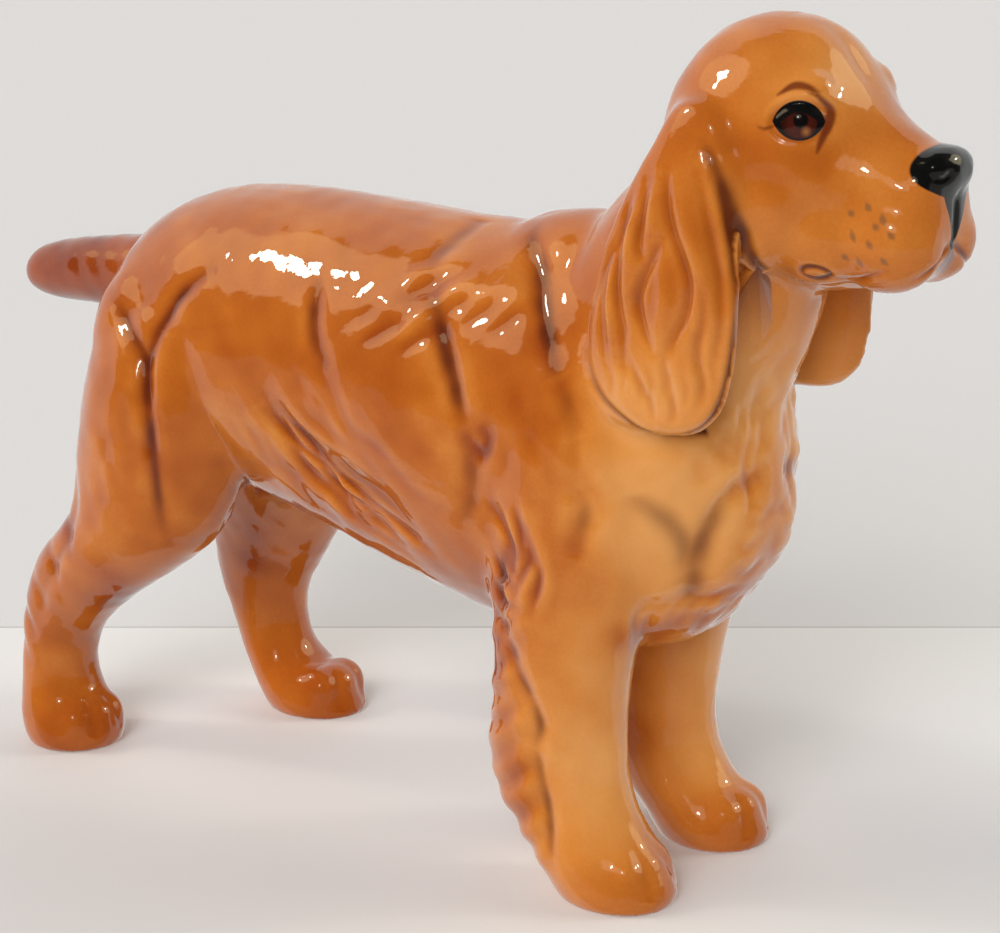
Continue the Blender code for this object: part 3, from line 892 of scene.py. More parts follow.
# %% Comb the breast and the front of the neck
comb(
    [
        [(2, 92), (2, 80), (3, 70), (4, 58)],
        [(8, 96), (9, 84), (10, 74), (9, 62)],
        [(14, 94), (16, 82), (17, 72), (16, 62)],
    ],
    22, 1.5, 0.30, 0.10, wave=1.3, wave_length=10.0, view=FRONT_VIEW,
)
for fringe in range(8):
    across = 0.8 + 2.0 * fringe
    drop = 48.5 + 0.10 * across + chance.uniform(-1.5, 1.5)
    stroke(
        [(across, drop + 5), (across + 1.4, drop + 1), (across - 0.4, drop - 4)],
        1.2, 0.7, 0.16, 1.0, view=FRONT_VIEW,
    )
    stroke(
        [(across + 1.2, drop + 4), (across + 2.0, drop), (across + 0.8, drop - 4)],
        1.4, -0.5, view=FRONT_VIEW,
    )
for above, out in ((66, 2.5), (62, 5), (57, 3), (53, 7), (49, 4)):
    stroke(
        [(out - 2, above + 1.5), (out + 1.5, above - 0.6), (out + 5, above + 0.8)],
        1.2, 0.35, 0.12, 1.0, view=FRONT_VIEW,
    )
press_all()
COAT_PASSES = 2
spots = thumb(spots, joints, COAT_PASSES, ~fine_region(spots))
put_places(dog.data, spots)
print("deepest stroke:", round(float(-pressed.min()), 2), "mm")

# %% [markdown]
# ## The ears, the face and the toes
#
# These are cut on the fine mesh.  The ears hang in long wavy locks with one lens-shaped lock in
# the middle.  The lids, the mouth and the toes are crisp grooves.  Each could be a bevelled edge of
# its own, but strokes of one tool keep the hand of one modeller.

# %% Cut the ears
ear_side = np.abs(spots[:, 1]) > 13.0
EAR_X = LOW["right_ear"][0]
EAR_Z = LOW["right_ear"][2]


def leaf(*points):
    """Side-view points measured from the ear's lower rear corner."""
    return [(EAR_X + ahead, EAR_Z + above) for ahead, above in points]


# The outline of each ear gets a dark brown line: brown stain, and painted shade in the crease where the
# ear meets the neck.
EAR_EDGE = leaf(
    (23.0, 41), (24.9, 36.5), (26.6, 31.6), (27.9, 25), (28.2, 19), (27.8, 13), (26.8, 8),
    (24.8, 3.8), (21.5, 1.0), (17, -0.4), (13, 0.2), (9, 2.4), (5.2, 5.0), (2.4, 8.5), (1.2, 13),
)
stroke(EAR_EDGE, 0.9, 0.6, 0.95, 0.75, within=ear_side)
FRONT_EDGE = leaf(
    (20.6, 46), (22.3, 43.4), (23.6, 41.1), (25.1, 37.5), (26.6, 32.3), (27.6, 27), (28.0, 21)
)
stroke(FRONT_EDGE, 1.1, 0.45, 0.95, 1.05, within=ear_side)
stroke(leaf((1.2, 13), (2.2, 18), (3.8, 24), (7, 30), (10, 36), (12, 41)), 0.9, 0.3, 0.30, 0.7)
print("outlined the ears")

# %% Part the ears into locks
for line, depth in (
    (leaf((20.7, 41.1), (22.6, 35.8), (24.1, 30.6), (25.6, 25), (26.0, 18), (25, 11)), 0.7),
    (leaf((15.4, 41.5), (16.0, 37.2), (17.2, 32.7), (19.4, 28.3), (20.8, 24.5), (20.4, 20), (18.6, 16),
          (17.4, 13)), 0.8),
    (leaf((15.8, 31), (14.2, 28), (12.6, 24.8), (11.8, 21.3), (13.2, 17.0), (15.4, 13.5)), 0.75),
    (leaf((12.4, 39), (11.6, 34), (11.2, 30), (12.4, 27)), 0.7),
    (leaf((9.3, 38.4), (8.2, 34.4), (7.2, 28.8), (7.6, 22), (9.2, 16), (9.6, 11)), 0.75),
    (leaf((6.0, 31), (5.2, 26), (4.5, 21), (5.0, 16), (6.0, 11)), 0.5),
    (leaf((16.9, 13.1), (17.9, 9.0), (18.8, 5.0), (18.0, 2.4)), 0.5),
    (leaf((10.4, 12.7), (12.3, 9.0), (14.7, 5.5), (15.2, 2.5)), 0.5),
    (leaf((22.6, 25), (23.4, 20), (22.6, 15), (23.6, 9), (22.6, 5)), 0.5),
):
    stroke(line, 1.0, depth, 0.30, 0.95, within=ear_side)
for line in (
    leaf((17.8, 40), (19.2, 35), (20.9, 30), (22.6, 25), (22.4, 19)),
    leaf((15.9, 28), (16.6, 23), (16.4, 19), (16.0, 15)),
    leaf((13.9, 40), (13.6, 35), (14.0, 31)),
    leaf((10.6, 38), (9.6, 31), (9.6, 26), (10.2, 19)),
    leaf((6.4, 27), (6.6, 20), (7.4, 14)),
    leaf((27.0, 30), (27.4, 22), (26.8, 14)),
):
    stroke(line, 1.5, -0.6, within=ear_side)
# small curls in the paler tip
for ahead in (6.5, 9.0, 12.0, 14.0, 16.5, 20.0, 22.5, 24.5):
    start = 11.5 + chance.uniform(-2.0, 2.5)
    stroke(
        leaf((ahead, start), (ahead + 1.0, start - 3.0), (ahead + 0.6, start - 6.0)),
        0.8, 0.22, 0.18, 0.8, within=ear_side,
    )
print("deepest groove in the ears:", round(float(-relief.min()), 2), "mm")

# %% Cut the lids and the brows
eye = np.array((nose[0] - 16.9, 13.7, nose[2] + 7.0))


def face(*points):
    """Side-view points measured from the tip of the nose."""
    return [(nose[0] + ahead, nose[2] + above) for ahead, above in points]


head_side = spots[:, 2] > head_floor + 2.0
lid = [
    (eye[0] + 3.6 * math.cos(angle), eye[2] + 2.7 * math.sin(angle))
    for angle in np.linspace(0, 2 * math.pi, 15)
]
stroke(lid, 0.55, 0.30, 0.0, within=head_side, blunt=True)
brow_rim = [
    (eye[0] + 4.6 * math.cos(angle), eye[2] + 3.9 * math.sin(angle))
    for angle in np.linspace(0.1, math.pi, 10)
]
stroke(brow_rim, 0.8, -0.35, within=head_side)
stroke(face((-12.0, 4.5), (-12.6, 1.5), (-13.0, -2.0)), 1.6, 0.35, within=head_side)
stroke(face((-23, 4.5), (-27, 2.5), (-31, 3)), 1.6, 0.25, 0.1, within=head_side)
print("eye at", eye.round(1))

# %% Cut the mouth, the nostrils and the lip fold
stroke(
    face((-3.2, -14.2), (-5.5, -15.3), (-8.0, -16.2), (-11, -16.6), (-14.0, -16.4)),
    0.6, 0.55, 0.35, 0.5, within=head_side,
)
MOUTH = [(0.2, nose[2] - 10.6), (2.6, nose[2] - 12.2), (5.4, nose[2] - 14.2), (7.8, nose[2] - 15.6)]
stroke(MOUTH, 0.6, 0.65, 0.6, 0.5, view=FRONT_VIEW, within=head_side)
stroke(
    [(0, nose[2] - 3.5), (0, nose[2] - 7), (0, nose[2] - 11)], 0.8, 0.6, 0.0,
    view=FRONT_VIEW, sides=(1,), within=head_side,
)
stroke(
    [(3.6, nose[2] + 0.4), (4.6, nose[2] - 0.8), (6.0, nose[2] - 0.4)], 0.6, 0.5,
    view=FRONT_VIEW, within=head_side,
)
lip_fold = [
    (nose[0] - 14.2 + 2.2 * math.cos(angle), nose[2] - 15.6 + 1.1 * math.sin(angle))
    for angle in np.linspace(0, 2 * math.pi, 11)
]
stroke(lip_fold, 0.45, 0.45, 0.9, 0.4, within=head_side, blunt=True)
# the hollow down the middle of the forehead
stroke(
    [(0, nose[2] + 21), (0, nose[2] + 17), (0, nose[2] + 12)], 2.5, 0.5,
    view=FRONT_VIEW, sides=(1,), within=head_side,
)
print("cut the face")

# %% Cut the toes
TOE_CUT = 0.36
TOE_TIP = 10.6
low_down = spots[:, 2] < 14.0
for paw_x, paw_y, _ in paws.values():
    side = math.copysign(1, paw_y)
    mine = low_down & (spots[:, 1] * side > 0) & (np.abs(spots[:, 0] - paw_x) < 16)
    for turn in (-TOE_CUT, TOE_CUT):
        toe_x = math.cos(turn)
        toe_y = math.sin(turn)
        runs = (5.2, 7.5, TOE_TIP, TOE_TIP + 2)
        stroke(
            [(paw_x + toe_x * run, abs(paw_y) + toe_y * run) for run in runs],
            1.3, 0.22, 0.12, 1.0, sides=(int(side),), view=TOP_VIEW,
            within=mine & (normals[:, 0] > -0.4),
        )
press_all()
print("cut the toes")

# %% Ripple the whole skin
# the soles stay flat, so the ripples fade out towards the table
relief += 0.10 * ripples(spots, 14.0, 3) + 0.05 * ripples(spots, 5.0, 4)
relief *= np.clip(spots[:, 2] / 6.0, 0.0, 1.0)
press_all()
spots[:, 2] = np.maximum(spots[:, 2], 0.0)
put_places(dog.data, spots)
print("skin is", (spots.max(axis=0) - spots.min(axis=0)).round(1), "mm over all")

# %% [markdown]
# ## Paint
#
# The ware is airbrushed with three stains before it is glazed: pale honey on the breast, the legs
# and the tips of the ears, amber on the body, chestnut on the tail and in the folds.  Painted shade
# then darkens every groove, and every ridge is painted paler, as if lit.  All of this is kept on the
# mesh as plain attributes: tone, from -1 for chestnut to 1 for pale honey, with the painted shade
# and light of the hollows and ridges in it, and stain, for the brown in the folds and more painted
# shade in the hollows.

# %% Spray the tones
mirror = spots * (1, 0, 1)
mirror[:, 1] = np.abs(spots[:, 1])
tone = np.zeros(len(spots))


def spray(centre, size, amount):
    """A soft round cloud of lighter or darker stain, on both sides of the dog."""
    gap = np.linalg.norm((mirror - centre) / np.array(size), axis=1)
    tone[:] = tone + amount * np.exp(-(gap ** 2))


for centre, size, amount in (
    # forelegs, breast and throat, paler
    ((RUMP + 123, 18, 20), (16, 16, 34), 0.85),
    ((RUMP + 138, 8, 68), (16, 18, 22), 0.75),
    ((RUMP + 128, 20, 72), (12, 10, 16), 0.35),
    # tips of the ears, front of the neck, and a darker patch under it
    ((EAR_X + 16, 25, EAR_Z + 4), (14, 5, 10), 0.30),
    ((RUMP + 136, 8, 92), (12, 13, 16), 0.90),
    ((RUMP + 142, 3, 61), (9, 8, 10), -0.35),
    # forehead and muzzle
    ((nose[0] - 16, 4, nose[2] + 17), (12, 14, 9), 0.70),
    ((nose[0] - 8, 8, nose[2] - 8), (12, 10, 10), 0.20),
    # tail, back, rump, belly, shoulder and hocks, darker
    ((RUMP - 14, 0, 90), (22, 16, 14), -0.85),
    ((RUMP + 70, 24, 88), (26, 12, 12), -0.25),
    ((RUMP + 18, 22, 84), (14, 14, 18), -0.25),
    ((RUMP + 80, 16, 56), (34, 14, 10), -0.15),
    ((RUMP + 112, 22, 92), (8, 10, 16), -0.35),
    ((RUMP + 6, 20, 36), (12, 14, 14), -0.20),
):
    spray(centre, size, amount)
print("tone runs from", round(float(tone.min()), 2), "to", round(float(tone.max()), 2))

# %% Dab orange patches into the feathering and onto the paws
for ahead, above, size in (
    (104, 44, 3.5), (103, 37, 3.0), (106, 29, 3.5), (108.5, 22, 3.5), (110, 15, 3.5),
    (105, 51, 3.0), (107, 56, 3.5), (112, 60, 2.5), (102.5, 77, 4.0), (-2, 38, 3.5),
    (-8, 31, 3.5), (4, 46, 3.5), (17, 38, 3.5), (14, 31, 3.5), (131, 47, 3.0), (126, 46, 3.0),
    (137, 52, 3.0),
):
    spray((RUMP + ahead, 20, above), (size, 16, size), -0.55)
for ahead, out, above in (
    (133, 5, 47), (128, 11, 45), (137, 3, 54), (130, 9, 51), (124, 8, 44), (139, 7, 72),
):
    spray((RUMP + ahead, out, above), (3.5, 2.8, 2.6), -0.45)
for paw_x, paw_y, _ in paws.values():
    spray((paw_x + 4, abs(paw_y), 4), (9.5, 10, 7), -0.35)
print("tone now runs down to", round(float(tone.min()), 2))

# %% Paint shade into the hollows and pale the ridges
HOLLOW_SHADE_WIDTH = 14


def blurred(values, times):
    """Spread values over the neighbours on the skin."""
    column = values[:, None]
    for _ in range(times):
        column = relaxed(column.repeat(3, axis=1), joints, 0.6)[:, :1]
    return column[:, 0]


# Painted shade and light: the hollows of the relief are darkened in the tone and the ridges are painted
# paler.
hollow = pressed - blurred(pressed, HOLLOW_SHADE_WIDTH)
tone += np.clip(hollow * 1.4, -0.8, 0.4)
tone += 0.12 * ripples(spots, 24.0, 11) + 0.08 * ripples(spots, 9.0, 12)
fold *= np.clip(0.85 + 0.25 * ripples(spots, 7.0, 14), 0.4, 1.0)
# Painted shade: the deeper hollows also get brown in the stain layer.
fold += np.clip(-hollow * 0.7 - 0.12, 0.0, 0.5)
fold = np.clip(blurred(fold, 1), 0.0, 1.0)
print("stained points:", int((fold > 0.3).sum()))

# %% [markdown]
# ## The painted marks
#
# The nose line, the brows, the mouth and the whisker roots are put on with a fine brush.  A drawn
# picture wrapped round the head could hold them, but it would need a map of the skin.  A brush
# stroke is kept instead as a number on each point: how far inside the stroke the point lies.

# %% Make a brush
def brush(lines, view=SIDE_VIEW, limit=head_side):
    """How far inside a painted line each point lies, in millimetres.  The lines carry widths."""
    inside = np.full(len(spots), -2.0)
    for side in (-1, 1):
        for points in lines:
            curve = smooth_line(points)
            line = curve[:, :2] * ((side, 1) if view == FRONT_VIEW else (1, 1))
            near = np.flatnonzero(seen[view, side] & limit)
            gap, along = gap_to_line(spots[near][:, view], line)
            width = np.interp(along, np.linspace(0, 1, len(curve)), curve[:, 2])
            inside[near] = np.maximum(inside[near], width - gap)
    return inside


muzzle = head_side & (spots[:, 0] > nose[0] - 6)
print("points on the front of the muzzle:", int(muzzle.sum()))

# %% Paint the black, the brown and the grey
# each place on a line is a place in the view and half the line's width
black = brush(
    [
        [(0, nose[2] - 2.6, 4.2), (0, nose[2] - 4.4, 3.4), (0, nose[2] - 6.2, 2.6),
         (0, nose[2] - 8.2, 1.8), (0, nose[2] - 10.0, 1.0), (0, nose[2] - 11.4, 0.5)],
    ],
    FRONT_VIEW, muzzle,
)
brown = brush(
    [
        [(nose[0] - 20.4, nose[2] + 10.8, 0.2), (nose[0] - 18.6, nose[2] + 12.1, 0.6),
         (nose[0] - 16.6, nose[2] + 12.0, 0.5), (nose[0] - 15.0, nose[2] + 11.2, 0.25)],
        [(nose[0] - 16.4, nose[2] + 11.4, 0.1), (nose[0] - 14.8, nose[2] + 10.6, 0.35),
         (nose[0] - 13.9, nose[2] + 8.6, 0.5), (nose[0] - 13.7, nose[2] + 6.2, 0.6),
         (nose[0] - 13.9, nose[2] + 4.2, 0.5), (nose[0] - 14.2, nose[2] + 2.6, 0.2)],
        [(nose[0] - 20.2, nose[2] + 6.3, 0.2), (nose[0] - 21.4, nose[2] + 5.9, 0.25),
         (nose[0] - 22.4, nose[2] + 6.2, 0.1)],
    ],
)
grey = brush(
    [
        [(0.2, nose[2] - 11.0, 0.4), (0.6, nose[2] - 12.6, 0.9), (1.0, nose[2] - 14.4, 1.0),
         (1.4, nose[2] - 15.8, 0.6)],
    ],
    FRONT_VIEW, muzzle,
)
print("black points:", int((black > 0).sum()), "brown:", int((brown > 0).sum()))

# %% Dot the whisker roots
# each mark: ahead of and above the nose, and its length
WHISKERS = (
    (-7.0, -4.4, 1.2), (-4.4, -5.8, 1.6), (-8.6, -8.4, 1.8), (-5.8, -9.6, 1.4),
    (-7.4, -12.4, 1.5), (-2.8, -8.2, 1.1), (-9.8, -12.0, 1.0), (-3.6, -12.0, 1.2),
    (-5.2, -7.2, 0.9), (-9.4, -5.6, 0.9),
)
whisker = brush([
    [
        (nose[0] + ahead, nose[2] + above, 0.2),
        (nose[0] + ahead + 0.4, nose[2] + above - size / 2, 0.58),
        (nose[0] + ahead + 1.0, nose[2] + above - size, 0.2),
    ]
    for ahead, above, size in WHISKERS
])
print("whisker marks on each cheek:", len(WHISKERS))

# %% Keep the paint on the skin
def keep(name, values):
    """Store one number for each point of the skin."""
    layer = dog.data.attributes.new(name, "FLOAT", "POINT")
    layer.data.foreach_set("value", values.astype(np.float32))


# the stain layer holds brown stain from the strokes and painted shade from the hollows
for name, values in (
    ("tone", tone), ("stain", fold), ("black", black), ("brown", brown), ("grey", grey),
    ("whisker", whisker),
):
    keep(name, values)
print("painted", len(spots), "points")

# %% [markdown]
# ## Glaze
#
# A clear gloss glaze over stained clay is two layers: a matt coloured body, and a clear coat with
# a mirror finish.  The Principled shader has both.  The colour comes from the tone through a ramp,
# with fine airbrush grain; the tone already holds painted shade in the hollows and paler ridges.
# The folds are darkened with brown, for the stain in the folds and the painted shade in every
# hollow; the eyes, the nose and the other painted marks lie on top of that.  A slight swell in the
# bump gives the wobble of real glaze.
# Glass over clay could be modelled as a second skin, but a clear coat shows the same with half the
# faces.

# %% Name the colours
AMBER_RAMP = (
    (0.00, (0.170, 0.022, 0.002)), (0.25, (0.300, 0.054, 0.005)),
    (0.50, (0.450, 0.117, 0.012)), (0.72, (0.590, 0.205, 0.035)),
    (1.00, (0.700, 0.310, 0.085)),
)
FOLD_BROWN = (0.082, 0.013, 0.005, 1.0)
BLACK = (0.003, 0.003, 0.003, 1.0)
BROW_BROWN = (0.120, 0.014, 0.004, 1.0)
WHISKER_BROWN = (0.170, 0.080, 0.035, 1.0)
MOUTH_GREY = (0.085, 0.080, 0.090, 1.0)
EYE_CORNER = (0.200, 0.040, 0.012, 1.0)
IRIS_EDGE = (0.014, 0.003, 0.002, 1.0)
IRIS = (0.055, 0.007, 0.003, 1.0)
PUPIL = (0.004, 0.002, 0.002, 1.0)
EYE_GLOW = (0.420, 0.150, 0.035, 1.0)
print("stops in the amber ramp:", len(AMBER_RAMP))

# %% Wire shader nodes
class Recipe:
    """A small hand for wiring shader nodes."""

    def __init__(self, material):
        self.nodes = material.node_tree.nodes
        self.links = material.node_tree.links

    def add(self, kind, **settings):
        node = self.nodes.new(kind)
        for name, value in settings.items():
            setattr(node, name, value)
        return node

    def feed(self, socket, value):
        if isinstance(value, bpy.types.NodeSocket):
            self.links.new(value, socket)
        else:
            socket.default_value = value

    def math(self, operation, *values):
        node = self.add("ShaderNodeMath", operation=operation)
        for socket, value in zip(node.inputs, values):
            self.feed(socket, value)
        return node.outputs[0]

    def vector(self, operation, *values):
        node = self.add("ShaderNodeVectorMath", operation=operation)
        for socket, value in zip(node.inputs, values):
            self.feed(socket, value)
        return node.outputs["Value" if operation in ("LENGTH", "DISTANCE", "DOT_PRODUCT") else "Vector"]

    def stored(self, name):
        return self.add("ShaderNodeAttribute", attribute_name=name).outputs["Fac"]

    def mark(self, name, start, end, strength):
        """How strongly a stored brush mark covers the clay."""
        return self.math("MULTIPLY", self.fade(self.stored(name), start, end), strength)

    def fade(self, value, start, end):
        node = self.add("ShaderNodeMapRange", interpolation_type="SMOOTHSTEP")
        self.feed(node.inputs["Value"], value)
        node.inputs["From Min"].default_value = start
        node.inputs["From Max"].default_value = end
        return node.outputs["Result"]

    def mix(self, amount, under, over):
        node = self.add("ShaderNodeMix", data_type="RGBA")
        self.feed(node.inputs["Factor"], amount)
        self.feed(node.inputs["A"], under)
        self.feed(node.inputs["B"], over)
        return node.outputs["Result"]

    def ramp(self, value, stops):
        node = self.add("ShaderNodeValToRGB")
        band = node.color_ramp
        while len(band.elements) < len(stops):
            band.elements.new(0.5)
        for element, (place, colour) in zip(band.elements, stops):
            element.position = place
            element.color = (*colour, 1.0)
        self.feed(node.inputs["Fac"], value)
        return node.outputs["Color"]

    def noise(self, where, scale, detail=2.0):
        node = self.add("ShaderNodeTexNoise")
        self.feed(node.inputs["Vector"], where)
        node.inputs["Scale"].default_value = scale
        node.inputs["Detail"].default_value = detail
        return node.outputs["Fac"]


print("one recipe wires the glaze and the room")

# %% Paint the eyes
# The eye is drawn in a flat frame of its own, one unit from the middle to each corner.
EYE_LENGTH = 0.0041
EYE_TURN = math.radians(-34.4)
UPPER_LID = ((0.0, -0.30, 0.0), 0.99)
LOWER_LID = ((0.0, 0.44, 0.0), 1.04)


def paint_eyes(recipe, where, colour):
    """Painted eyes: a lens-shaped black rim, a red-brown iris and a dark pupil."""
    parts = recipe.add("ShaderNodeSeparateXYZ")
    recipe.feed(parts.inputs[0], where)
    folded = recipe.add("ShaderNodeCombineXYZ")
    recipe.feed(folded.inputs["X"], parts.outputs["X"])
    recipe.feed(folded.inputs["Y"], recipe.math("ABSOLUTE", parts.outputs["Y"]))
    recipe.feed(folded.inputs["Z"], parts.outputs["Z"])
    local = recipe.add("ShaderNodeMapping", vector_type="TEXTURE")
    recipe.feed(local.inputs["Vector"], folded.outputs[0])
    local.inputs["Location"].default_value = Vector(eye) * MM
    local.inputs["Rotation"].default_value = (0.0, 0.0, EYE_TURN)
    local.inputs["Scale"].default_value = (EYE_LENGTH, EYE_LENGTH, EYE_LENGTH * 1.08)
    inside = recipe.add("ShaderNodeSeparateXYZ")
    recipe.feed(inside.inputs[0], local.outputs[0])
    flat = recipe.add("ShaderNodeCombineXYZ")
    recipe.feed(flat.inputs["X"], inside.outputs["X"])
    recipe.feed(flat.inputs["Y"], inside.outputs["Z"])
    here = flat.outputs[0]
    near = recipe.math("LESS_THAN", recipe.math("ABSOLUTE", inside.outputs["Y"]), 1.2)

    def disc(x, y, radius, soft):
        gap = recipe.vector("DISTANCE", here, (x, y, 0.0))
        return recipe.fade(gap, radius + soft, radius - soft)

    lens = recipe.math("MAXIMUM", *(
        recipe.math("SUBTRACT", recipe.vector("DISTANCE", here, middle), radius)
        for middle, radius in (UPPER_LID, LOWER_LID)
    ))
    opening = recipe.math("MULTIPLY", recipe.fade(lens, 0.03, -0.02), near)
    rim_width = recipe.ramp(
        recipe.math("MULTIPLY_ADD", inside.outputs["Z"], 0.5, 0.5),
        ((0.30, (0.07, 0.07, 0.07)), (0.62, (0.36, 0.36, 0.36))),
    )
    inner_edge = recipe.fade(recipe.math("ADD", lens, rim_width), -0.03, 0.03)
    rim = recipe.math("MULTIPLY", opening, inner_edge)
    eyeball = recipe.mix(disc(0.08, 0.02, 0.78, 0.08), EYE_CORNER, IRIS_EDGE)
    eyeball = recipe.mix(disc(0.07, -0.14, 0.56, 0.22), eyeball, IRIS)
    eyeball = recipe.mix(disc(0.04, 0.08, 0.27, 0.05), eyeball, PUPIL)
    glow = recipe.math("MULTIPLY", disc(0.24, -0.30, 0.10, 0.16), 0.8)
    eyeball = recipe.mix(glow, eyeball, EYE_GLOW)
    colour = recipe.mix(opening, colour, eyeball)
    return recipe.mix(rim, colour, BLACK)


print("an eye is", EYE_LENGTH / MM * 2, "mm long")

# %% Paint the nose
def paint_nose(recipe, where, colour):
    """The black nose: all the skin inside an oval lump."""
    local = recipe.add("ShaderNodeMapping", vector_type="TEXTURE")
    recipe.feed(local.inputs["Vector"], where)
    local.inputs["Location"].default_value = Vector(nose + (0.6, 0.0, -0.2)) * MM
    local.inputs["Scale"].default_value = (0.0062, 0.0077, 0.0040)
    gap = recipe.vector("LENGTH", local.outputs[0])
    return recipe.mix(recipe.fade(gap, 1.03, 0.98), colour, BLACK)


print("nose at", nose.round(1))

# %% Mix the glaze
GRAIN_SCALE = 1900.0
CLOUD_SCALE = 95.0
SWELL_SCALE = 260.0
GLAZE_IOR = 1.52


def mix_glaze(name):
    """One glaze for all castings.  Each slot has its own copy, named for the slot."""
    material = bpy.data.materials.new(name + "_finish")
    material.use_nodes = True
    recipe = Recipe(material)
    shader = recipe.nodes["Principled BSDF"]
    where = recipe.add("ShaderNodeTexCoord").outputs["Object"]
    grain = recipe.noise(where, GRAIN_SCALE, 1.0)
    cloud = recipe.noise(where, CLOUD_SCALE, 3.0)
    level = recipe.math("MULTIPLY_ADD", recipe.stored("tone"), 0.5, 0.5)
    level = recipe.math("ADD", level, recipe.math("MULTIPLY_ADD", grain, 0.09, -0.045))
    level = recipe.math("ADD", level, recipe.math("MULTIPLY_ADD", cloud, 0.22, -0.11))
    colour = recipe.ramp(level, AMBER_RAMP)
    uneven = recipe.math("MULTIPLY_ADD", cloud, 0.6, 0.62)
    # The stain layer darkens the colour with brown: stain in the folds, and painted shade in every
    # hollow.
    folds = recipe.math("MULTIPLY", recipe.stored("stain"), uneven)
    folds = recipe.math("MULTIPLY", recipe.fade(folds, 0.03, 0.82), 0.90)
    colour = recipe.mix(folds, colour, FOLD_BROWN)
    if name == "head_glaze":
        colour = recipe.mix(recipe.mark("whisker", -0.15, 0.40, 0.66), colour, WHISKER_BROWN)
        colour = recipe.mix(recipe.mark("brown", -0.25, 0.35, 0.85), colour, BROW_BROWN)
        colour = recipe.mix(recipe.mark("grey", -0.3, 0.9, 0.8), colour, MOUTH_GREY)
        colour = paint_eyes(recipe, where, colour)
        colour = recipe.mix(recipe.fade(recipe.stored("black"), -0.12, 0.12), colour, BLACK)
        colour = paint_nose(recipe, where, colour)
    recipe.feed(shader.inputs["Base Color"], colour)
    for socket, value in (
        ("Roughness", 0.45), ("Specular IOR Level", 0.05), ("Coat Weight", 1.0),
        ("Coat Roughness", 0.025), ("Coat IOR", GLAZE_IOR),
    ):
        shader.inputs[socket].default_value = value
    bump = recipe.add("ShaderNodeBump")
    recipe.feed(bump.inputs["Height"], recipe.noise(where, SWELL_SCALE))
    bump.inputs["Strength"].default_value = 0.12
    bump.inputs["Distance"].default_value = 0.0008
    recipe.feed(shader.inputs["Coat Normal"], bump.outputs[0])
    return material


slots = {row["node"]: row["material_slot"] for row in frame["record"]["subparts"]}
glazes = {slot: mix_glaze(slot) for slot in sorted(set(slots.values()))}
print("glazes:", ", ".join(glazes))

# %% [markdown]
# ## Parting the castings
#
# The finished model is cut into the pieces that the moulds are made from: trunk, head, two ears,
# four legs and the tail.  The bisect tool cuts along a flat plane only.  The ears part along a
# curved line, so each cut is drawn as a number that is nought on the line, the third coordinate is
# swapped for that number, the skin is cut flat, and the true places are put back.

# %% Draw the parting lines
EAR_EASE = 0.9
EAR_PLANE_TOP = 12.3
EAR_PLANE_LOW = 16.8


def ear_outline():
    """The leaf's outline in the side view, a little outside its edge."""
    tall = ear_high[2] - ear_low[2]
    rows = [(ear_high[2] + 0.6 - drop * (tall + 1.4), rear, front) for drop, rear, front, *_ in EAR]
    rear_edge = [(ear_line + rear * EAR_DEPTH - EAR_EASE, z) for z, rear, _ in rows]
    front_edge = [(ear_line + front * EAR_DEPTH + EAR_EASE, z) for z, _, front in rows]
    return np.array(rear_edge + front_edge[::-1])


def inside_outline(flat, outline):
    """How far each spot lies inside a closed outline, negative outside."""
    closed = np.vstack([outline, outline[:1]])
    gap, _ = gap_to_line(flat, closed)
    crossings = np.zeros(len(flat), int)
    for (x0, z0), (x1, z1) in zip(closed, closed[1:]):
        spans = (z0 > flat[:, 1]) != (z1 > flat[:, 1])
        if abs(z1 - z0) > 1e-9:
            crossings += spans & (flat[:, 0] < x0 + (flat[:, 1] - z0) / (z1 - z0) * (x1 - x0))
    return np.where(crossings % 2 == 1, gap, -gap)


print("corners of an ear's outline:", len(ear_outline()))

# %% Tell one casting from the next
def parting(name, where):
    """A number that is positive inside one casting and negative outside it."""
    x, y, z = where.T
    side = 1.0 if name.startswith("left") else -1.0
    if name.endswith("ear"):
        field = np.full(len(where), -9.0)
        near = np.flatnonzero((y * side > 8) & (z > ear_low[2] - 4) & (x > ear_low[0] - 4))
        share = np.clip((ear_high[2] - z[near]) / (ear_high[2] - ear_low[2]), 0.0, 1.0)
        stand_off = y[near] * side - (EAR_PLANE_TOP + share * (EAR_PLANE_LOW - EAR_PLANE_TOP))
        field[near] = np.minimum(inside_outline(where[near][:, (0, 2)], ear_outline()), stand_off)
        return field
    if name == "tail":
        return np.where(z > hind_face + 12, tail_high[0] + 0.15 - x, -9.0)
    if name.endswith("foreleg"):
        return np.where((x > 0) & (y * side > 0), fore_face - 0.15 - z, -9.0)
    if name.endswith("hindleg"):
        return np.where((x < 0) & (y * side > 0), hind_face - 0.15 - z, -9.0)
    return np.where(z > fore_face + 30, (where - neck_cut) @ neck_way, -9.0)


PARTED = [name for name in NODES if name != "trunk_casting"]
PARTED.sort(key=lambda name: (not name.endswith("ear"), name))
print("parted in this order:", ", ".join(PARTED))

# %% Find the faces that a parting line crosses
def face_range(mesh, values):
    """The lowest and highest value at the corners of each face."""
    at_corner = values[read(mesh.loops, "vertex_index", kind=np.int32)]
    first = read(mesh.polygons, "loop_start", kind=np.int32)
    return np.minimum.reduceat(at_corner, first), np.maximum.reduceat(at_corner, first)


where = places_of(dog.data)
crossed = {}
for name in PARTED:
    lowest, highest = face_range(dog.data, parting(name, where))
    crossed[name] = np.flatnonzero((lowest < 0) & (highest > 0) & (lowest > -5))
print("faces on the lines:", sum(len(found) for found in crossed.values()))

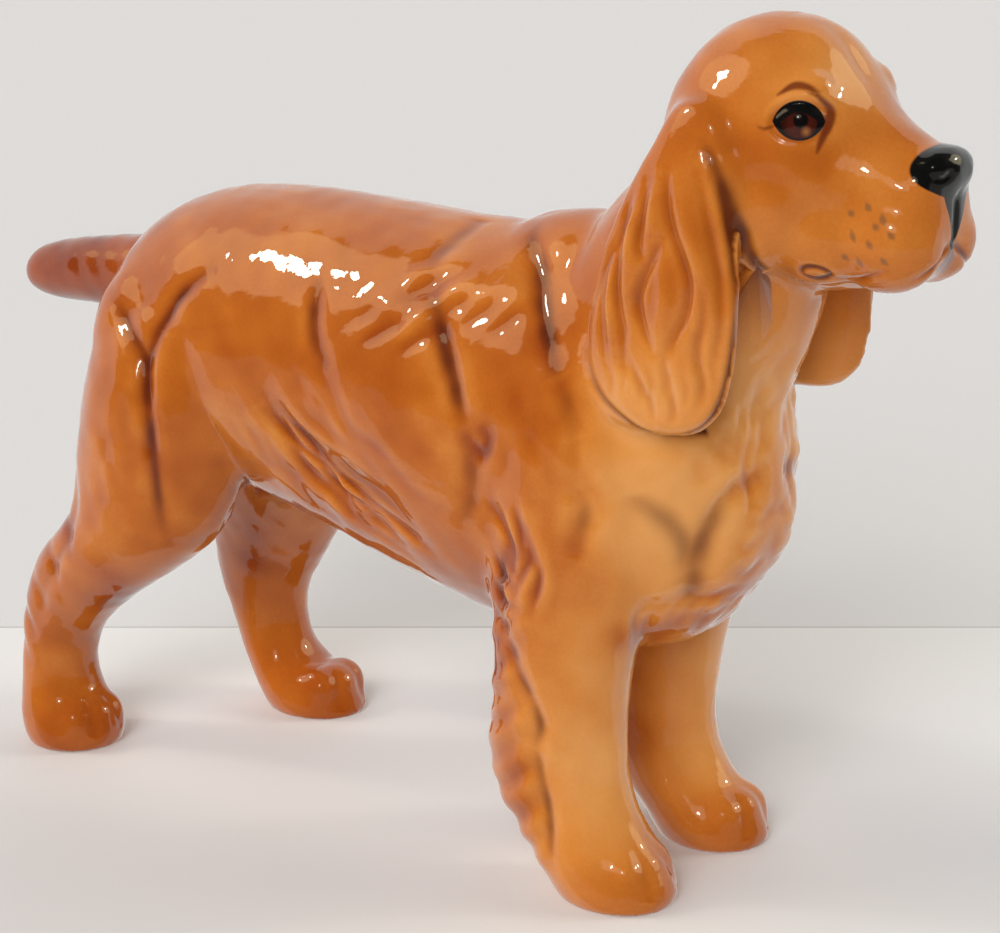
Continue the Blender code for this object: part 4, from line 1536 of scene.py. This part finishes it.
# %% Cut the skin along the lines
# A cut moves some faces onto new points, so each line also looks at the faces round earlier cuts.
bm = bmesh.new()
bm.from_mesh(dog.data)
kept_place = bm.verts.layers.float_vector.new("kept_place")
bm.faces.ensure_lookup_table()
crossed = {name: [bm.faces[index] for index in found] for name, found in crossed.items()}
fresh = set()
for name in PARTED:
    faces = {face for face in crossed[name] if face.is_valid}
    faces |= {face for vert in fresh if vert.is_valid for face in vert.link_faces}
    verts = list({vert for face in faces for vert in face.verts})
    field = parting(name, np.array([vert.co for vert in verts]) / MM)
    level_of = dict(zip(verts, field))
    faces = [face for face in faces if all(level_of[vert] > -5 for vert in face.verts)]
    edges = {edge for face in faces for edge in face.edges}
    verts = {vert for face in faces for vert in face.verts}
    for vert in verts:
        vert[kept_place] = vert.co
        vert.co.z = level_of[vert] * MM
    cut = bmesh.ops.bisect_plane(
        bm, geom=list(verts) + list(edges) + faces, dist=0.02 * MM, plane_no=(0, 0, 1)
    )
    new = {item for item in cut["geom_cut"] if isinstance(item, bmesh.types.BMVert)}
    for vert in verts | new:
        vert.co = vert[kept_place]
    fresh |= new
    print("parted", name, "across", len(faces), "faces")
bm.verts.layers.float_vector.remove(kept_place)
bm.to_mesh(dog.data)
bm.free()

# %% Separate the castings
# Each casting is marked with its own glaze, and the skin falls apart by glaze.
for name in NODES:
    dog.data.materials.append(glazes[slots[name]])
where = places_of(dog.data)
owner = np.full(len(dog.data.polygons), NODES.index("trunk_casting"), np.int32)
claimed = np.zeros(len(owner), bool)
for name in PARTED:
    lowest, highest = face_range(dog.data, parting(name, where))
    mine = (highest > -lowest) & (highest > 0) & ~claimed
    owner[mine] = NODES.index(name)
    claimed |= mine
for name, kind, domain, values in (
    ("casting", "INT", "FACE", owner),
    ("skin_normal", "FLOAT_VECTOR", "POINT", normals_of(dog.data)),
):
    layer = dog.data.attributes.new(name, kind, domain)
    layer.data.foreach_set("value" if kind == "INT" else "vector", values.ravel())
dog.data.polygons.foreach_set("material_index", owner)
take(dog)
bpy.ops.object.mode_set(mode="EDIT")
bpy.ops.mesh.select_all(action="SELECT")
bpy.ops.mesh.separate(type="MATERIAL")
bpy.ops.object.mode_set(mode="OBJECT")
pieces = {}
for piece in list(bpy.context.selected_objects):
    number = piece.data.attributes["casting"].data[0].value
    pieces[NODES[number]] = piece
    piece.name = NODES[number] + "_glazed"
    piece.data.name = piece.name
print("separated", len(pieces), "castings")

# %% Cap and shade the castings
def close_casting(mesh):
    """Cap the cut faces, and keep the shading of the whole skin up to each cut."""
    bm = bmesh.new()
    bm.from_mesh(mesh)
    cap_mark = bm.faces.layers.int.new("cap")
    open_edges = [edge for edge in bm.edges if edge.is_boundary]
    caps = bmesh.ops.holes_fill(bm, edges=open_edges, sides=0)["faces"]
    caps = bmesh.ops.triangulate(bm, faces=caps)["faces"]
    for face in caps:
        face[cap_mark] = 1
        face.smooth = False
    bm.to_mesh(mesh)
    left_open = sum(edge.is_boundary for edge in bm.edges)
    bm.free()
    mesh.update()
    corner = read(mesh.loops, "vertex_index", kind=np.int32)
    skin = read(mesh.attributes["skin_normal"].data, "vector", 3)
    flat = read(mesh.polygons, "normal", 3)
    is_cap = read(mesh.attributes["cap"].data, "value", kind=np.int32)
    sizes = read(mesh.polygons, "loop_total", kind=np.int32)
    face_of = np.repeat(np.arange(len(sizes)), sizes)
    chosen = np.where(is_cap[face_of][:, None] > 0, flat[face_of], skin[corner])
    mesh.normals_split_custom_set(chosen)
    for name in ("skin_normal", "cap", "casting"):
        mesh.attributes.remove(mesh.attributes[name])
    return left_open


for name in NODES:
    piece = pieces[name]
    piece.data.shade_smooth()
    left_open = close_casting(piece.data)
    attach(piece, "root")
    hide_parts(name)
    triangles = sum(len(face.vertices) - 2 for face in piece.data.polygons)
    print(name, "has", triangles, "triangles and", left_open, "open edges")

# %% [markdown]
# ## The table and the light
#
# Gloss shows the room.  Three warm lamps stand on the left, on the right and in front, each with a
# small bright middle and a wide pale reflector.  Three broad fills light the clay without showing
# in the glaze.  The room is bright behind the figure and dark behind the camera, which keeps the
# amber deep.  The table would lay a pale veil on every surface that faces down, so the glaze
# mirrors a dimmer ground in its place.  Lamps with real housings would give the same reflections,
# but they would stand in the way when the figure is looked at from behind.

# %% Lay the table
FLOOR_Z = 0.0
ROOM = 4.0
HALF_SEAM = 0.0003
seam = np.array((-0.047, 0.082))
view_way = np.array((-math.sin(CAMERA_TURN), math.cos(CAMERA_TURN)))


def board(name, near, far, colour):
    """A flat board across the view, from one distance behind the figure to another."""
    middle = seam + view_way * (near + far) / 2
    deselect()
    bpy.ops.mesh.primitive_plane_add(
        size=1.0, location=(*middle, FLOOR_Z), rotation=(0, 0, CAMERA_TURN)
    )
    plank = bpy.context.object
    plank.name = name
    plank.scale = (2 * ROOM, far - near, 1.0)
    paint = bpy.data.materials.new(name + "_paint")
    paint.use_nodes = True
    shader = paint.node_tree.nodes["Principled BSDF"]
    shader.inputs["Base Color"].default_value = colour
    shader.inputs["Roughness"].default_value = 0.6
    shader.inputs["Specular IOR Level"].default_value = 0.2
    plank.data.materials.append(paint)
    plank.visible_glossy = False


board("table", -ROOM, -HALF_SEAM, (0.76, 0.77, 0.80, 1.0))
board("seam", -HALF_SEAM, HALF_SEAM, (0.40, 0.40, 0.41, 1.0))
board("backdrop", HALF_SEAM, ROOM, (0.68, 0.685, 0.72, 1.0))
print("the table meets the backdrop behind the figure, at", seam)

# %% Hang the lamps
def lamp(name, way, strength, width, colour):
    """A far lamp that shines from one direction and looks a few degrees wide."""
    bpy.ops.object.light_add(type="SUN", location=Vector(way) * 1.5)
    light = bpy.context.object
    light.name = name
    light.rotation_euler = Vector(way).to_track_quat("Z", "Y").to_euler()
    light.data.energy = strength
    light.data.angle = math.radians(width)
    light.data.color = colour
    return light


LEFT_LAMP = Vector((-0.64, -0.40, 0.65)).normalized()
RIGHT_LAMP = Vector((0.55, 0.62, 0.50)).normalized()
FRONT_LAMP = Vector((0.28, -0.76, 0.58)).normalized()
FRONT_FILL = Vector((0.25, -0.83, 0.42))
WARM = (1.0, 0.93, 0.82)
WHITE = (1.0, 1.0, 1.0)
FILL_WIDTH = 40.0
lamp("left_lamp", LEFT_LAMP, 0.28, 6.5, WARM)
lamp("right_lamp", RIGHT_LAMP, 0.26, 6.0, WARM)
lamp("front_lamp", FRONT_LAMP, 0.14, 4.5, WARM)
for name, way, strength in (
    ("left_fill", LEFT_LAMP, 0.60), ("right_fill", RIGHT_LAMP, 0.35), ("front_fill", FRONT_FILL, 2.1),
):
    fill = lamp(name, way, strength, FILL_WIDTH, WHITE)
    fill.visible_glossy = False
print("three lamps and three fills")

# %% Colour the room
DARK_ROOM = (0.030, 0.030, 0.032, 1.0)
BRIGHT_WALL = (0.78, 0.78, 0.77, 1.0)
GROUND = (0.34, 0.32, 0.30, 1.0)
# each reflector: its way, its half width in radians and its shine
REFLECTORS = (
    (LEFT_LAMP, 0.33, (2.0, 1.65, 1.05, 1.0)), (RIGHT_LAMP, 0.32, (2.2, 1.95, 1.35, 1.0)),
    (FRONT_LAMP, 0.18, (1.4, 1.25, 1.0, 1.0)),
)
world = bpy.data.worlds.new("room")
bpy.context.scene.world = world
world.use_nodes = True
room = Recipe(world)
background = room.nodes["Background"]
sky = room.add("ShaderNodeTexCoord").outputs["Generated"]
behind = room.vector("DOT_PRODUCT", sky, (*view_way, -0.35))
below = room.vector("DOT_PRODUCT", sky, (0.0, 0.0, -1.0))
colour = room.mix(room.fade(below, 0.02, 0.10), DARK_ROOM, GROUND)
colour = room.mix(room.fade(behind, 0.0, 0.06), colour, BRIGHT_WALL)
for way, size, shine in REFLECTORS:
    towards = room.vector("DOT_PRODUCT", sky, tuple(way))
    halo = room.fade(towards, math.cos(size), math.cos(size - 0.05))
    colour = room.mix(halo, colour, shine)
room.feed(background.inputs["Color"], colour)
background.inputs["Strength"].default_value = 1.0
bpy.context.scene.view_settings.view_transform = "Standard"
print("reflectors:", len(REFLECTORS))
